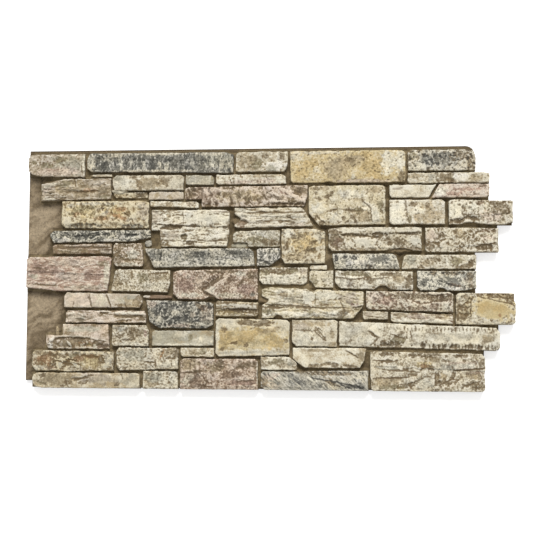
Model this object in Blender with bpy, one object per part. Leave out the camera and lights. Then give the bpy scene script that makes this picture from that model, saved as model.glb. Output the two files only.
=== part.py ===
"""Faux stone wall panel: one moulding of rigid foam with a dry-laid stone face.

The moulding is a flat plate that carries a raised bed of mortar, and the stones stand
out of that bed. Panels lap like shingles: at the right the courses run on past the plate
as tabs, and at the left and along the top the plate is left bare as a flange, stepped
back by the same lengths, for the tabs and the bottom lip of the neighbouring panels.

The panel lies face up. Sizes are in millimetres, measured from the plate's left edge and
from the underside of the bottom lip, and turn to metres when a mesh is made.
"""

from math import cos, pi, sin
from typing import NamedTuple

import bmesh
import bpy
from mathutils import Vector

# Driving dimensions
METRES = 0.001
PLATE_LENGTH = 1147.0
PANEL_HEIGHT = 616.0
PANEL_DEPTH = 32.0
FLANGE_THICKNESS = 10.0
BED_DEPTH = 15.0
LIP = 18.0
TOP_FLANGE = 10.0
TOP_CORNER_RADIUS = 22.0

# How the stones sit in the bed
JOINT = 6.0
SEAT_DEPTH = 10.0
FOOT_DEPTH = 2.0
DRAFT = 1.0
ARRIS = 2.6
SHOULDER = 4.0
FLUSH_SHOULDER = 2.0
HEAD_SHOULDER = 2.0
TAB_RIM = 1.0

# How one panel meets the next
LAP_CLEARANCE = 0.5
END_CLEARANCE = 1.5
TRIM = 1.0
OVERSHOOT = 40.0
CORNER_STEPS = 6

# The setting-out drawing that the courses and stones below are read from, along and up
DRAWING = Vector((1147.0, 616.0))

# How much of a side one chip, and how much of a stone's width one arris, may take
CHIP_LIMIT = 0.45
ARRIS_LIMIT = 0.3


class Course(NamedTuple):
    """One interlocking course: its head line, and how far its tab passes the plate."""
    head: float
    tab: float


COURSES = (
    Course(99, 23),
    Course(165, 59),
    Course(248, 98),
    Course(342, 3),
    Course(410, 58),
    Course(481, 94),
    Course(547, 37),
    Course(616, 3),
)


class Stone(NamedTuple):
    """One stone, by the joint lines that bound it.

    A pair gives a line that isn't square: a foot or head at its left and right ends, a
    left or right side at its foot and head. None is the free edge on that side: the bare
    flange at the left or the head, the end of the course at the right, the lip at the foot.
    back is how far the face lies behind the panel's face, and tilt is how much further
    it falls across the stone, towards the right and the head, or the other way if negative.
    bl, br, tr and tl are chipped corners, as along and up, with a third number for how
    square the chip is cut in. nicks are bites out of a side, as side, place, width and
    depth, with a negative depth for a bulge. falls are sloping spalls along a side, as
    side, width and drop. leaf is a raised bedding layer to the left of a line on the face,
    as the line's two points and the layer's thickness.
    """
    name: str
    left: object
    right: object
    foot: object
    head: object
    back: float = 2.0
    tilt: tuple = (0.0, 0.0)
    bl: tuple = ()
    br: tuple = ()
    tr: tuple = ()
    tl: tuple = ()
    nicks: tuple = ()
    falls: tuple = ()
    leaf: tuple = ()
    start: float = 0.0


SQUARE = 1.0
ROUND = -0.45

TOP_STONES = (
    Stone("buff_corner", None, 154, (545, 541), None, 3, (0, 1), tl=(14, 9, ROUND),
          bl=(38, 13, ROUND),
          falls=(("head", 9, 3), ("right", 8, 2))),
    Stone("long_slate", 155, 542, (555, 548), None, 1, (1, 0), bl=(10, 8), tr=(24, 5),
          tl=(8, 11), falls=(("foot", 9, 4),), leaf=(250, 590, 470, 582, 1.6)),
    Stone("top_shim", 163, 225, 542, 554, 9, tl=(6, 3)),
    Stone("cream_block", 543, 681, 551, None, 2, (0, -1.5), br=(8, 13), tl=(8, 5),
          falls=(("left", 10, 3),)),
    Stone("gold_long", 683, 978, 521, None, 0, (0, 1), bl=(6, 5), tr=(9, 6),
          nicks=(("foot", 783, 26, 3.5),), falls=(("foot", 10, 4), ("right", 8, 3))),
    Stone("slate_corner", 979, None, 549, None, 2, (1.5, 0), tr=(20, 14, ROUND), tl=(8, 4),
          falls=(("head", 8, 3),)),
)

UPPER_STONES = (
    Stone("umber_ledge", None, 224, (481, 484), 542, 3, (0, 1), tl=(64, 13),
          nicks=(("left", 501, 12, 30),), falls=(("foot", 12, 5),), leaf=(90, 512, 215, 505, 2)),
    Stone("cream_upper", 223, 414, 505, (550, 549), 2, (1, 0), bl=(6, 13), tl=(10, 8), tr=(8, 4),
          falls=(("head", 9, 3),)),
    Stone("small_block", 318, 414, 481, 507, 5, (0, 1), tl=(5, 3)),
    Stone("low_shelf", 224, 320, 486, 507, 8, (0, -1.5), bl=(9, 7)),
    Stone("grey_small", 414, 492, 518, (549, 548), 3, (0, 1), bl=(6, 4), tr=(5, 5)),
    Stone("pinkish_cream", 493, 677, 519, (549, 548), 2, (0, -1), tr=(7, 5), bl=(6, 4),
          falls=(("foot", 7, 3),)),
    Stone("rose_long", 413, 732, 462, (517, 520), 2, (1, 0.5), bl=(43, 19, SQUARE), br=(9, 28),
          tl=(9, 4), falls=(("foot", 11, 5), ("right", 12, 3))),
    Stone("thin_cream", 322, 453, (464, 459), (483, 480), 5, (0, 1), tr=(5, 4)),
    Stone("cream_large", 730, 928, (412, 415), 519, 1, (1, 1), bl=(26, 32), tl=(11, 5),
          tr=(7, 5), falls=(("foot", 14, 5),), leaf=(896, 515, 872, 418, 2.4)),
    Stone("buff_tab", 978, None, 518, 549, 3, (1, 0), tr=(9, 3), bl=(5, 4)),
    Stone("pale_thin", 933, (1036, 1054), 482, 519, 3, (0, -1), bl=(5, 5)),
    Stone("rose_thin_tab", (1039, 1057), None, 481, 520, 2, (0, 1), br=(7, 5),
          falls=(("foot", 8, 3),)),
)

MIDDLE_STONES = (
    Stone("gold_rough", None, 324, 408, 483, 1, (0, 1.5), bl=(9, 9), tr=(7, 4),
          falls=(("foot", 13, 6), ("head", 8, 3))),
    Stone("cream_cleft", 327, 533, 360, 459, 1, (1, 0), bl=(22, 47, SQUARE), br=(7, 34),
          tr=(8, 5), falls=(("head", 10, 3),), leaf=(350, 420, 528, 412, 2.6)),
    Stone("cream_leaf", 541, (747, 720), (407, 411), 463, 1, (-1, 0), bl=(9, 4),
          nicks=(("left", 431, 26, 16),), falls=(("foot", 10, 4),), leaf=(575, 440, 724, 436, 2.4)),
    Stone("cream_speck_small", 933, 1076, 414, 481, 2, (0, 1), tr=(8, 6), bl=(7, 5),
          falls=(("right", 12, 3),)),
    Stone("speckled_tab_upper", 1080, None, 413, (481, 476), 1, (1.5, 0), br=(22, 5), tl=(7, 5),
          nicks=(("foot", 1137, 60, 6),), falls=(("right", 12, 3),), leaf=(1084, 429, 1236, 444, 1.8)),
    Stone("grey_buff", 537, 662, 359, (404, 407), 4, (0, 1), bl=(39, 11, SQUARE), tl=(9, 7),
          falls=(("foot", 9, 4),)),
    Stone("gold_square", 661, 777, 316, 409, 0, (0, 1), bl=(9, 14), tr=(24, 7),
          falls=(("left", 10, 4), ("foot", 9, 3))),
    Stone("middle_shim", 732, 781, 301, 317, 8, tl=(5, 4)),
    Stone("mottled_long", 780, 1018, (348, 348), 412, 1, (0, -1.5), tl=(26, 4), bl=(8, 8),
          nicks=(("foot", 960, 74, 6),), falls=(("head", 9, 3), ("foot", 10, 4)),
          leaf=(784, 391, 1014, 396, 2)),
    Stone("speckled_tab_lower", 1022, None, 344, (411, 408), 2, (0, 1), bl=(7, 5),
          falls=(("head", 9, 3),), leaf=(1026, 356, 1200, 365, 1.6)),
    Stone("black_white_slate", None, 330, (371, 373), (406, 408), 1, (0.5, 0), bl=(9, 16), br=(46, 11),
          tl=(8, 7), start=7, falls=(("foot", 10, 5),), leaf=(90, 392, 325, 395, 1.6)),
    Stone("pebble", 307, 332, 360, 382, 9, bl=(5, 7), tl=(4, 5), br=(5, 4)),
    Stone("rose_brown_thin", None, 229, (342, 341), (371, 373), 3, (0, -1), tl=(6, 4),
          start=13),
    Stone("umber_square", 228, (313, 307), 309, 374, 2, (1, 0), bl=(8, 7), br=(5, 7),
          tl=(5, 6), falls=(("foot", 9, 4),)),
    Stone("slate_long", (334, 310), (599, 594), (306, 310), 360, 1, (0, 1), tr=(8, 9),
          falls=(("foot", 9, 4), ("right", 10, 3)), leaf=(330, 345, 590, 330, 1.5)),
    Stone("slate_end", 599, 663, 310, 360, 3, (1, 0), br=(27, 21), tl=(6, 4)),
    Stone("slate_light", (796, 789), (963, 955), 302, 346, 2, (0, 1), tr=(8, 6),
          falls=(("foot", 8, 3),)),
    Stone("buff_end", (963, 969), None, 302, 342, 3, (0, -1), tl=(6, 5)),
)

LOWER_STONES = (
    Stone("pink_left", None, (219, 229), 246, (339, 341), 2, (0, 1), bl=(92, 9), tl=(9, 6),
          tr=(8, 7), falls=(("right", 12, 3),), leaf=(5, 300, 215, 290, 2.2)),
    Stone("cream_speck", (224, 233), 381, (247, 243), (308, 304), 2, (0, -1), tl=(6, 5),
          br=(6, 22), falls=(("head", 9, 3),)),
    Stone("rose_leaf", 384, 607, 225, (304, 308), 1, (1, 0), bl=(13, 14), tl=(9, 5),
          nicks=(("foot", 486, 40, 6),), falls=(("head", 10, 3),),
          leaf=(515, 290, 455, 240, 2.8)),
    Stone("left_shim", 306, 387, 226, 241, 7, tl=(7, 3), bl=(14, 4)),
    Stone("dark_mottled", (327, 316), 494, 152, (228, 223), 0, (0, 1), bl=(22, 17), br=(18, 7),
          tr=(9, 4), falls=(("foot", 11, 5), ("head", 8, 3))),
    Stone("cream_crazed", None, 310, 204, (248, 243), 3, (0, 1), tl=(7, 9), tr=(7, 14),
          br=(7, 12), start=6),
    Stone("cream_banded", None, 320, (165, 165), (201, 201), 3, (0, -1), tl=(6, 7), tr=(5, 9),
          start=10),
    Stone("brown_wedge", 605, 733, 263, 311, 3, (0, -1.5), bl=(8, 9), br=(9, 6),
          falls=(("head", 10, 3),), leaf=(729, 291, 609, 293, 1.6)),
    Stone("olive_cream", 732, 797, 255, 303, 2, (1, 0), bl=(15, 26), tl=(5, 4)),
    Stone("cream_cleft_right", 797, 996, (253, 249), (303, 301), 1, (0, 1), bl=(14, 13),
          nicks=(("foot", 918, 42, 10),), falls=(("foot", 9, 4),), leaf=(992, 282, 801, 285, 2)),
    Stone("slate_end_right", 1001, None, 248, 302, 2, (0, 1), bl=(9, 10), br=(30, 6),
          nicks=(("foot", 1062, 32, 7),), falls=(("head", 8, 3),)),
    Stone("cream_cleft_long", 612, 873, 178, (262, 250), 0, (0.5, 0.5), tl=(19, 7), br=(24, 40),
          nicks=(("left", 225, 24, 18), ("foot", 657, 28, 8), ("head", 741, 26, 7)),
          falls=(("foot", 12, 4),), leaf=(640, 232, 866, 214, 2.4)),
    Stone("rose_right", 874, 1095, (201, 194), (252, 249), 2, (0, 1), tr=(9, 5), bl=(6, 5),
          falls=(("foot", 9, 3),)),
    Stone("thin_cream_left", 866, 934, 176, (202, 200), 5, (0, 1), bl=(4, 4)),
    Stone("pink_buff", 936, 1095, (169, 165), (199, 194), 4, (0, -1), bl=(6, 5)),
    Stone("gold_tab", 1096, None, 164, 247, 0, (1, 0.5), tr=(9, 24), br=(7, 5), tl=(7, 5),
          falls=(("head", 11, 4), ("foot", 9, 3)), leaf=(1131, 243, 1137, 168, 2)),
    Stone("bark_cream", None, (227, 222), 98, 166, 2, (0, 1), tl=(43, 36, SQUARE), bl=(5, 6),
          falls=(("foot", 14, 6),)),
    Stone("umber_cream", (226, 229), 328, 106, 164, 1, (0, 1), bl=(6, 5), tr=(7, 14),
          falls=(("left", 8, 3),)),
    Stone("grey_flat", 331, 495, 107, 151, 5, (0, 1), tl=(5, 4)),
    Stone("pale_low", 405, 496, 79, 107, 6, (0, 1), bl=(6, 5)),
    Stone("gold_large", 495, 688, (80, 86), (182, 179), 0, (0, 1), bl=(9, 10), tr=(7, 6),
          tl=(9, 6), falls=(("foot", 12, 5), ("right", 10, 3))),
    Stone("cream_ledge", 494, 608, 182, (227, 223), 3, (1, 0), tl=(5, 5), br=(6, 5),
          leaf=(498, 205, 604, 204, 1.8)),
    Stone("cream_spalled", 689, (806, 809), 107, 179, 2, (0, 1), bl=(10, 10), tr=(8, 4),
          falls=(("foot", 12, 4),)),
    Stone("cream_long_tab", 807, None, (109, 99), (176, 161), 0, (0.5, 0.5), br=(9, 6),
          tr=(8, 12), falls=(("foot", 14, 6), ("head", 8, 2)), leaf=(905, 172, 905, 104, 2)),
    Stone("cream_over", 691, (871, 881), 54, 109, 3, (0, 1), bl=(30, 33), br=(6, 20),
          falls=(("left", 12, 4),)),
    Stone("cream_small", 610, 706, 48, 86, 4, (0, 1), tr=(18, 18)),
)

BOTTOM_STONES = (
    Stone("gold_brown_left", None, 238, 42, (99, 97), 3, (0, 1), bl=(9, 12), tl=(7, 5),
          nicks=(("foot", 120, 60, -2),)),
    Stone("cream_wide", 240, 405, (44, 49), 107, 1, (0, 1), bl=(7, 13), tl=(7, 9), tr=(6, 6),
          falls=(("foot", 10, 4),)),
    Stone("rose_bottom", 405, 608, None, 80, 2, (0, 1), tr=(8, 7), tl=(7, 5),
          falls=(("foot", 8, 4), ("head", 8, 3))),
    Stone("lip_left", None, 306, None, 42, 3, (0, 1), bl=(20, 14, ROUND), tl=(10, 5)),
    Stone("lip_pale", 309, 404, None, 48, 4, (0, 1), tr=(5, 6)),
    Stone("slate_streaked", 611, 885, None, (49, 53), 2, (0, 1), bl=(9, 8), tl=(5, 5),
          falls=(("foot", 8, 4),)),
    Stone("bottom_right", 885, None, None, (101, 97), 0, (0, 0.5), bl=(6, 9), tr=(8, 9),
          br=(9, 9, ROUND), nicks=(("right", 40, 24, 2.5),),
          falls=(("foot", 10, 4),), leaf=(893, 62, 1165, 52, 2.4)),
)

STONES = TOP_STONES + UPPER_STONES + MIDDLE_STONES + LOWER_STONES + BOTTOM_STONES

# Paint on the moulding
FOAM_COLOUR = (0.46, 0.38, 0.27, 1.0)
FOAM_ROUGHNESS = 0.85


def across(x):
    """A place along the drawing, on a plate of this length."""
    return x * PLATE_LENGTH / DRAWING.x


def up(y):
    """A level on the drawing, on a panel of this height."""
    return y * PANEL_HEIGHT / DRAWING.y


def course_at(level):
    """The course that a level of the panel belongs to."""
    for course in COURSES:
        if level < up(course.head):
            return course
    return COURSES[-1]


def course_end(course):
    """Where the foot of a course's last stone stops at the right."""
    return PLATE_LENGTH + course.tab


def recess_end(course):
    """Where the bed of a course starts: a neighbour's tab stops one joint short of its first stone."""
    return max(course.tab - JOINT + END_CLEARANCE, 0.0)


def course_start(course):
    """Where the first stone of a course starts, past the rim of mortar that holds it."""
    rim = SHOULDER if recess_end(course) > 0 else FLUSH_SHOULDER
    return recess_end(course) + rim


def overall_length():
    """The plate with its longest tab."""
    return max(course_end(course) for course in COURSES)


def pair(value):
    """One number stands for both ends of a line."""
    return value if isinstance(value, tuple) else (value, value)


def stone_corners(stone):
    """The stone's four corners inside its joints: foot left, foot right, head right, head left."""
    half = JOINT / 2
    foot = [DRAFT, DRAFT]
    if stone.foot is not None:
        foot = [up(level) + half for level in pair(stone.foot)]
    head = [PANEL_HEIGHT - TOP_FLANGE - HEAD_SHOULDER] * 2
    if stone.head is not None:
        head = [up(level) - half for level in pair(stone.head)]
    course = course_at((min(foot) + max(head)) / 2)
    left = [course_start(course) + stone.start] * 2
    if stone.left is not None:
        left = [across(place) + half for place in pair(stone.left)]
    right = [course_end(course) - DRAFT] * 2
    if stone.right is not None:
        right = [across(place) - half for place in pair(stone.right)]
    return [
        Vector((left[0], foot[0])),
        Vector((right[0], foot[1])),
        Vector((right[1], head[1])),
        Vector((left[1], head[0])),
    ]


def chipped(before, corner, after, chip):
    """The points that take the place of a corner: the two ends of its chip, and a middle one."""
    if not chip:
        return [corner]
    back = before - corner
    ahead = after - corner
    start = corner + back.normalized() * min(chip[0], back.length * CHIP_LIMIT)
    end = corner + ahead.normalized() * min(chip[1], ahead.length * CHIP_LIMIT)
    if len(chip) < 3:
        return [start, end]
    inwards = (start - corner) + (end - corner)
    middle = corner + inwards * (1 + chip[2]) / 2
    return [start, middle, end]


def nicked(start, end, nicks, axis):
    """The points of the nicks along a side, in the order that the side runs."""
    along = (end - start).normalized()
    inwards = Vector((-along.y, along.x))
    points = []
    for _, place, width, depth in sorted(nicks, key=lambda nick: nick[1] * along[axis]):
        scale = across if axis == 0 else up
        at = scale(place)
        width = scale(width)
        depth = up(depth) if axis == 0 else across(depth)
        middle = start + (end - start) * (at - start[axis]) / (end[axis] - start[axis])
        points.append(middle - along * width / 2)
        points.append(middle - along * width / 8 + inwards * depth)
        points.append(middle + along * width / 5 + inwards * depth * 0.8)
        points.append(middle + along * width / 2)
    return points


def stone_outline(stone):
    """The stone's outline at its shoulder, counter-clockwise from the foot of its left side."""
    corners = stone_corners(stone)
    chips = (stone.bl, stone.br, stone.tr, stone.tl)
    sides = ("foot", "right", "head", "left")
    outline = []
    for index, corner in enumerate(corners):
        before = corners[index - 1]
        after = corners[(index + 1) % 4]
        chip = chips[index]
        if chip:
            chip = (across(chip[0]), up(chip[1])) + tuple(chip[2:])
        level_side_first = index in (1, 3)
        if chip and not level_side_first:
            chip = (chip[1], chip[0]) + tuple(chip[2:])
        outline += chipped(before, corner, after, chip)
        nicks = [nick for nick in stone.nicks if nick[0] == sides[index]]
        outline += nicked(corner, after, nicks, index % 2)
    return outline


def offset(outline, distance):
    """The outline moved inwards by a distance, with its corners kept sharp."""
    moved = []
    for index, point in enumerate(outline):
        before = (point - outline[index - 1]).normalized()
        after = (outline[(index + 1) % len(outline)] - point).normalized()
        normal_before = Vector((-before.y, before.x))
        normal_after = Vector((-after.y, after.x))
        middle = normal_before + normal_after
        moved.append(point + middle * distance / (1 + normal_before.dot(normal_after)))
    return moved


def low_corner(outline):
    """The lowest place along and up that an outline reaches."""
    return Vector((min(point.x for point in outline), min(point.y for point in outline)))


def extent(outline):
    """How far an outline reaches along and up."""
    high = Vector((max(point.x for point in outline), max(point.y for point in outline)))
    return high - low_corner(outline)


def face_level(stone, outline):
    """The height of the stone's face over a point, before layers and spalls."""
    low = low_corner(outline)
    size = extent(outline)
    layer = stone.leaf[4] if stone.leaf else 0.0
    top = PANEL_DEPTH - stone.back - layer

    def level(point):
        height = top
        for axis in (0, 1):
            share = (point[axis] - low[axis]) / size[axis]
            fall = stone.tilt[axis]
            height -= fall * share if fall > 0 else -fall * (1 - share)
        return height

    return level


def ring(mesh, outline, level):
    """A loop of vertices, with the height of each from a function of its place."""
    return [mesh.verts.new((point.x, point.y, level(point))) for point in outline]


def bridge(mesh, lower, upper):
    """A wall between two loops."""
    for index in range(len(lower)):
        after = (index + 1) % len(lower)
        mesh.faces.new((lower[index], lower[after], upper[after], upper[index]))


def raise_leaf(mesh, face, leaf):
    """Split the stone's face along a line and lift the part to the line's left by one layer."""
    start = Vector((across(leaf[0]), up(leaf[1]), 0))
    end = Vector((across(leaf[2]), up(leaf[3]), 0))
    along = (end - start).normalized()
    side = Vector((-along.y, along.x, 0))
    geometry = [face] + list(face.edges) + list(face.verts)
    cut = bmesh.ops.bisect_plane(mesh, geom=geometry, plane_co=start, plane_no=side)
    halves = [item for item in cut["geom"] if isinstance(item, bmesh.types.BMFace)]
    lifted = [half for half in halves if (half.calc_center_median() - start).dot(side) > 0]
    raised = bmesh.ops.extrude_discrete_faces(mesh, faces=lifted)["faces"]
    for vertex in {vertex for top in raised for vertex in top.verts}:
        vertex.co.z += leaf[4]


def spall(mesh, line_point, outwards, width, drop, level):
    """Slope the face down to a side: cut off all that lies above the slope."""
    edge = Vector((line_point.x, line_point.y, level - drop))
    slope = Vector((-outwards.x * width, -outwards.y * width, drop))
    along = Vector((-outwards.y, outwards.x, 0))
    normal = slope.cross(along)
    if normal.z < 0:
        normal.negate()
    geometry = list(mesh.verts) + list(mesh.edges) + list(mesh.faces)
    bmesh.ops.bisect_plane(mesh, geom=geometry, plane_co=edge, plane_no=normal, clear_outer=True)
    rim = [edge for edge in mesh.edges if edge.is_boundary]
    bmesh.ops.holes_fill(mesh, edges=rim)


def stone_solid(stone):
    """One stone as a closed solid, from its seat in the bed to its face."""
    outline = stone_outline(stone)
    foot_outline = offset(outline, -DRAFT)
    arris = min(ARRIS, ARRIS_LIMIT * min(extent(outline)))
    face_outline = offset(outline, arris)
    face_height = face_level(stone, face_outline)
    mesh = bmesh.new()
    seat = ring(mesh, foot_outline, lambda point: BED_DEPTH - SEAT_DEPTH)
    foot = ring(mesh, foot_outline, lambda point: BED_DEPTH - FOOT_DEPTH)
    shoulder = ring(mesh, outline, lambda point: face_height(point) - arris)
    top = ring(mesh, face_outline, face_height)
    mesh.faces.new(list(reversed(seat)))
    bridge(mesh, seat, foot)
    bridge(mesh, foot, shoulder)
    bridge(mesh, shoulder, top)
    face = mesh.faces.new(top)
    if stone.leaf:
        raise_leaf(mesh, face, stone.leaf)
    corners = stone_corners(stone)
    for side, width, drop in stone.falls:
        index = ("foot", "right", "head", "left").index(side)
        start = corners[index]
        along = (corners[(index + 1) % 4] - start).normalized()
        outwards = Vector((along.y, -along.x))
        middle = (start + corners[(index + 1) % 4]) / 2
        highest = max(vertex.co.z for vertex in mesh.verts)
        spall(mesh, middle, outwards, width, drop, highest)
    return mesh


def prism(outline, low, high):
    """A closed solid between two levels."""
    mesh = bmesh.new()
    foot = ring(mesh, outline, lambda point: low)
    head = ring(mesh, outline, lambda point: high)
    mesh.faces.new(list(reversed(foot)))
    mesh.faces.new(head)
    bridge(mesh, foot, head)
    return mesh


def add_object(name, meshes):
    """One object from several solids that don't touch, in metres, with the panel's middle at X = Y = 0."""
    joined = bmesh.new()
    for mesh in meshes:
        part = bpy.data.meshes.new(name)
        mesh.to_mesh(part)
        mesh.free()
        joined.from_mesh(part)
        bpy.data.meshes.remove(part)
    middle = Vector((overall_length() / 2, PANEL_HEIGHT / 2, 0))
    for vertex in joined.verts:
        vertex.co = (vertex.co - middle) * METRES
    data = bpy.data.meshes.new(name)
    joined.to_mesh(data)
    joined.free()
    item = bpy.data.objects.new(name, data)
    bpy.context.collection.objects.link(item)
    return item


def points(*places):
    """Outline points from pairs of numbers."""
    return [Vector(place) for place in places]


def plate_outline():
    """The silhouette of plate, tabs and lip, counter-clockwise from the lip's left end."""
    lap = JOINT / 2 + TAB_RIM
    rim = DRAFT + TAB_RIM
    right = [course_end(course) - rim for course in COURSES]
    lip_start = recess_end(COURSES[0])
    outline = points((lip_start, rim), (right[0], rim))
    for index in range(len(COURSES) - 1):
        step = lap if right[index + 1] > right[index] else -lap
        level = up(COURSES[index].head) + step
        outline += points((right[index], level), (right[index + 1], level))
    centre = Vector((right[-1] - TOP_CORNER_RADIUS, PANEL_HEIGHT - TOP_CORNER_RADIUS))
    for step in range(CORNER_STEPS + 1):
        angle = pi / 2 * step / CORNER_STEPS
        outline.append(centre + Vector((cos(angle), sin(angle))) * TOP_CORNER_RADIUS)
    outline += points((0, PANEL_HEIGHT), (0, LIP + TRIM), (lip_start, LIP + TRIM))
    return outline


def stepped_recess(run, foot):
    """The part of the left flange that a run of tabbed courses leaves bare."""
    ends = [recess_end(course) for course in run]
    heads = [up(course.head) for course in run]
    outline = points((-OVERSHOOT, foot), (ends[0], foot))
    for index in range(len(run) - 1):
        outline += points((ends[index], heads[index]), (ends[index + 1], heads[index]))
    outline += points((ends[-1], heads[-1]), (-OVERSHOOT, heads[-1]))
    return outline


def tabbed_runs():
    """Neighbouring courses whose tabs need a recess, each run with the level of its foot."""
    runs = []
    foot = -OVERSHOOT
    run = []
    for course in COURSES:
        if recess_end(course) > 0:
            run.append(course)
            continue
        if run:
            runs.append((run, foot))
        run = []
        foot = up(course.head)
    if run:
        runs.append((run, foot))
    return runs


def flange_cutters():
    """Solids that bare the flange: the stepped recesses at the left, and the strip along the top."""
    high = PANEL_DEPTH + OVERSHOOT
    ledge = PANEL_HEIGHT - TOP_FLANGE
    end = overall_length() + OVERSHOOT
    top = points((-OVERSHOOT, ledge), (end, ledge), (end, PANEL_HEIGHT + OVERSHOOT),
                 (-OVERSHOOT, PANEL_HEIGHT + OVERSHOOT))
    cutters = [prism(top, FLANGE_THICKNESS, high)]
    for run, foot in tabbed_runs():
        cutters.append(prism(stepped_recess(run, foot), FLANGE_THICKNESS, high))
    return cutters


def lap_cutter():
    """The rebate behind the tabs and the lip, for the flanges of the panels they lap."""
    end = overall_length() + OVERSHOOT
    head = PANEL_HEIGHT + OVERSHOOT
    outline = points((-OVERSHOOT, -OVERSHOOT), (end, -OVERSHOOT), (end, head),
                     (PLATE_LENGTH, head), (PLATE_LENGTH, LIP), (-OVERSHOOT, LIP))
    return prism(outline, -OVERSHOOT, FLANGE_THICKNESS + LAP_CLEARANCE)


def combine(item, other, operation):
    """A Boolean that stays on the object as a modifier."""
    modifier = item.modifiers.new(other.name, "BOOLEAN")
    modifier.operation = operation
    modifier.object = other
    other.hide_render = True
    other.display_type = "WIRE"


def painted_foam():
    """The matt paint of the moulding."""
    material = bpy.data.materials.new("painted_foam")
    material.use_nodes = True
    shader = material.node_tree.nodes["Principled BSDF"]
    shader.inputs["Base Color"].default_value = FOAM_COLOUR
    shader.inputs["Roughness"].default_value = FOAM_ROUGHNESS
    shader.inputs["Metallic"].default_value = 0.0
    return material


def build():
    """The panel: one block with the stones united to it, then the two rebates cut."""
    for item in list(bpy.data.objects):
        bpy.data.objects.remove(item)
    panel = add_object("stone_panel", [prism(plate_outline(), 0.0, BED_DEPTH)])
    stones = add_object("stones", [stone_solid(stone) for stone in STONES])
    flange = add_object("flange_rebate", flange_cutters())
    lap = add_object("lap_rebate", [lap_cutter()])
    combine(panel, stones, "UNION")
    combine(panel, flange, "DIFFERENCE")
    combine(panel, lap, "DIFFERENCE")
    panel.data.materials.append(painted_foam())


build()
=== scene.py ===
# %% [markdown]
# # A faux stone wall panel
# The real panel is one moulding of rigid polyurethane foam, cast in a rubber mould that was taken
# from real dry-laid stone, and then painted by hand in several coats. The CAD model holds its main
# shapes. This lesson dresses it: every stone gets its own broken surface and its own coats of paint,
# and the mortar bed and the bare flange get the rough surface of the moulding.
# All sizes below are in millimetres, measured along and up from the panel's lower left corner.

# %% Load the frame
import math
import bmesh
import bpy
import numpy as np
from mathutils import Matrix, Vector
from mathutils.bvhtree import BVHTree
from mathutils.geometry import delaunay_2d_cdt
from mathutils.kdtree import KDTree


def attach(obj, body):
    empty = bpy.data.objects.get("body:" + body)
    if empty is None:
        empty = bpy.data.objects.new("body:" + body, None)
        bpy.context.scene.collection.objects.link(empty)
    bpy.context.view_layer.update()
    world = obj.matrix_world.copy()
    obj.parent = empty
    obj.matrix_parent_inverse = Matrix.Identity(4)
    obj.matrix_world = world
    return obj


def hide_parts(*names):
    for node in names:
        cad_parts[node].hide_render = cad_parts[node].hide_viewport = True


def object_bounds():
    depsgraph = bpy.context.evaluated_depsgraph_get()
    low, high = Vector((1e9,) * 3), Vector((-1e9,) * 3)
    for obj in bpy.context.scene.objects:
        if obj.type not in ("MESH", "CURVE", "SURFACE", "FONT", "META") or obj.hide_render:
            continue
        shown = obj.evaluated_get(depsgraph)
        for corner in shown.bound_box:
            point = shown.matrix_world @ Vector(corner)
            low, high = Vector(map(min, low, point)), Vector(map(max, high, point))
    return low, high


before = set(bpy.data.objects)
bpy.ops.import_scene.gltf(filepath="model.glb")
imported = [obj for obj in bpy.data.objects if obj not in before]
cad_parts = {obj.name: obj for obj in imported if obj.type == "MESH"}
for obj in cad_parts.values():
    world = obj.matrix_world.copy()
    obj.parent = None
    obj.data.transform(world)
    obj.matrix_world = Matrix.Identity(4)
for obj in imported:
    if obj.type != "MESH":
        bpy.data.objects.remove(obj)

MM = 0.001
CAD_BOX = [list(corner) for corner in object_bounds()]
CORNER = np.array(CAD_BOX[0])
SIZE = (np.array(CAD_BOX[1]) - CORNER) / MM
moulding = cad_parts["stone_panel"]
print("panel", [round(float(side), 1) for side in SIZE], "mm")

# %% [markdown]
# ## The camera
# The photograph was taken from almost straight above the panel, a little to the right of its middle
# and below it. A camera was fitted to the corners and course lines of the panel, which gives a place
# 2.79 m up and a small turn about each axis. The turn is kept as one rotation vector, which is the
# shortest way to write it: its direction is the axis, and its length is the angle.

# %% Camera
FOCAL_PIXELS = 1100
PICTURE_PIXELS = 540
SENSOR = 36
LENS = FOCAL_PIXELS / PICTURE_PIXELS * SENSOR
CAMERA_PLACE = Vector((0.2949, -0.2002, 2.7879))
CAMERA_TURN = Vector((-0.07022, 0.10172, 0.00245))

turn = Matrix.Rotation(CAMERA_TURN.length, 3, CAMERA_TURN.normalized())
looking_down = Matrix(((1, 0, 0), (0, -1, 0), (0, 0, -1)))
rows = turn @ looking_down
axes = Matrix((rows[0], -rows[1], -rows[2])).transposed()
camera_data = bpy.data.cameras.new("camera")
camera_data.lens = LENS
camera_data.sensor_width = SENSOR
camera_data.clip_end = 20
camera = bpy.data.objects.new("camera", camera_data)
camera.matrix_world = Matrix.Translation(CAMERA_PLACE) @ axes.to_4x4()
bpy.context.scene.collection.objects.link(camera)
bpy.context.scene.camera = camera
bpy.context.scene.view_settings.view_transform = "Standard"
print("lens", round(LENS, 1), "mm")

# %% [markdown]
# ## Paint colours
# A painter names colours by the tins they mixed, so each paint here is one sRGB hex value. Blender
# works in linear light, and one function turns hex into that. The stones are sponged in creams,
# buffs, ochres, roses and slates over a brown base coat, which stays in the joints.

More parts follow.
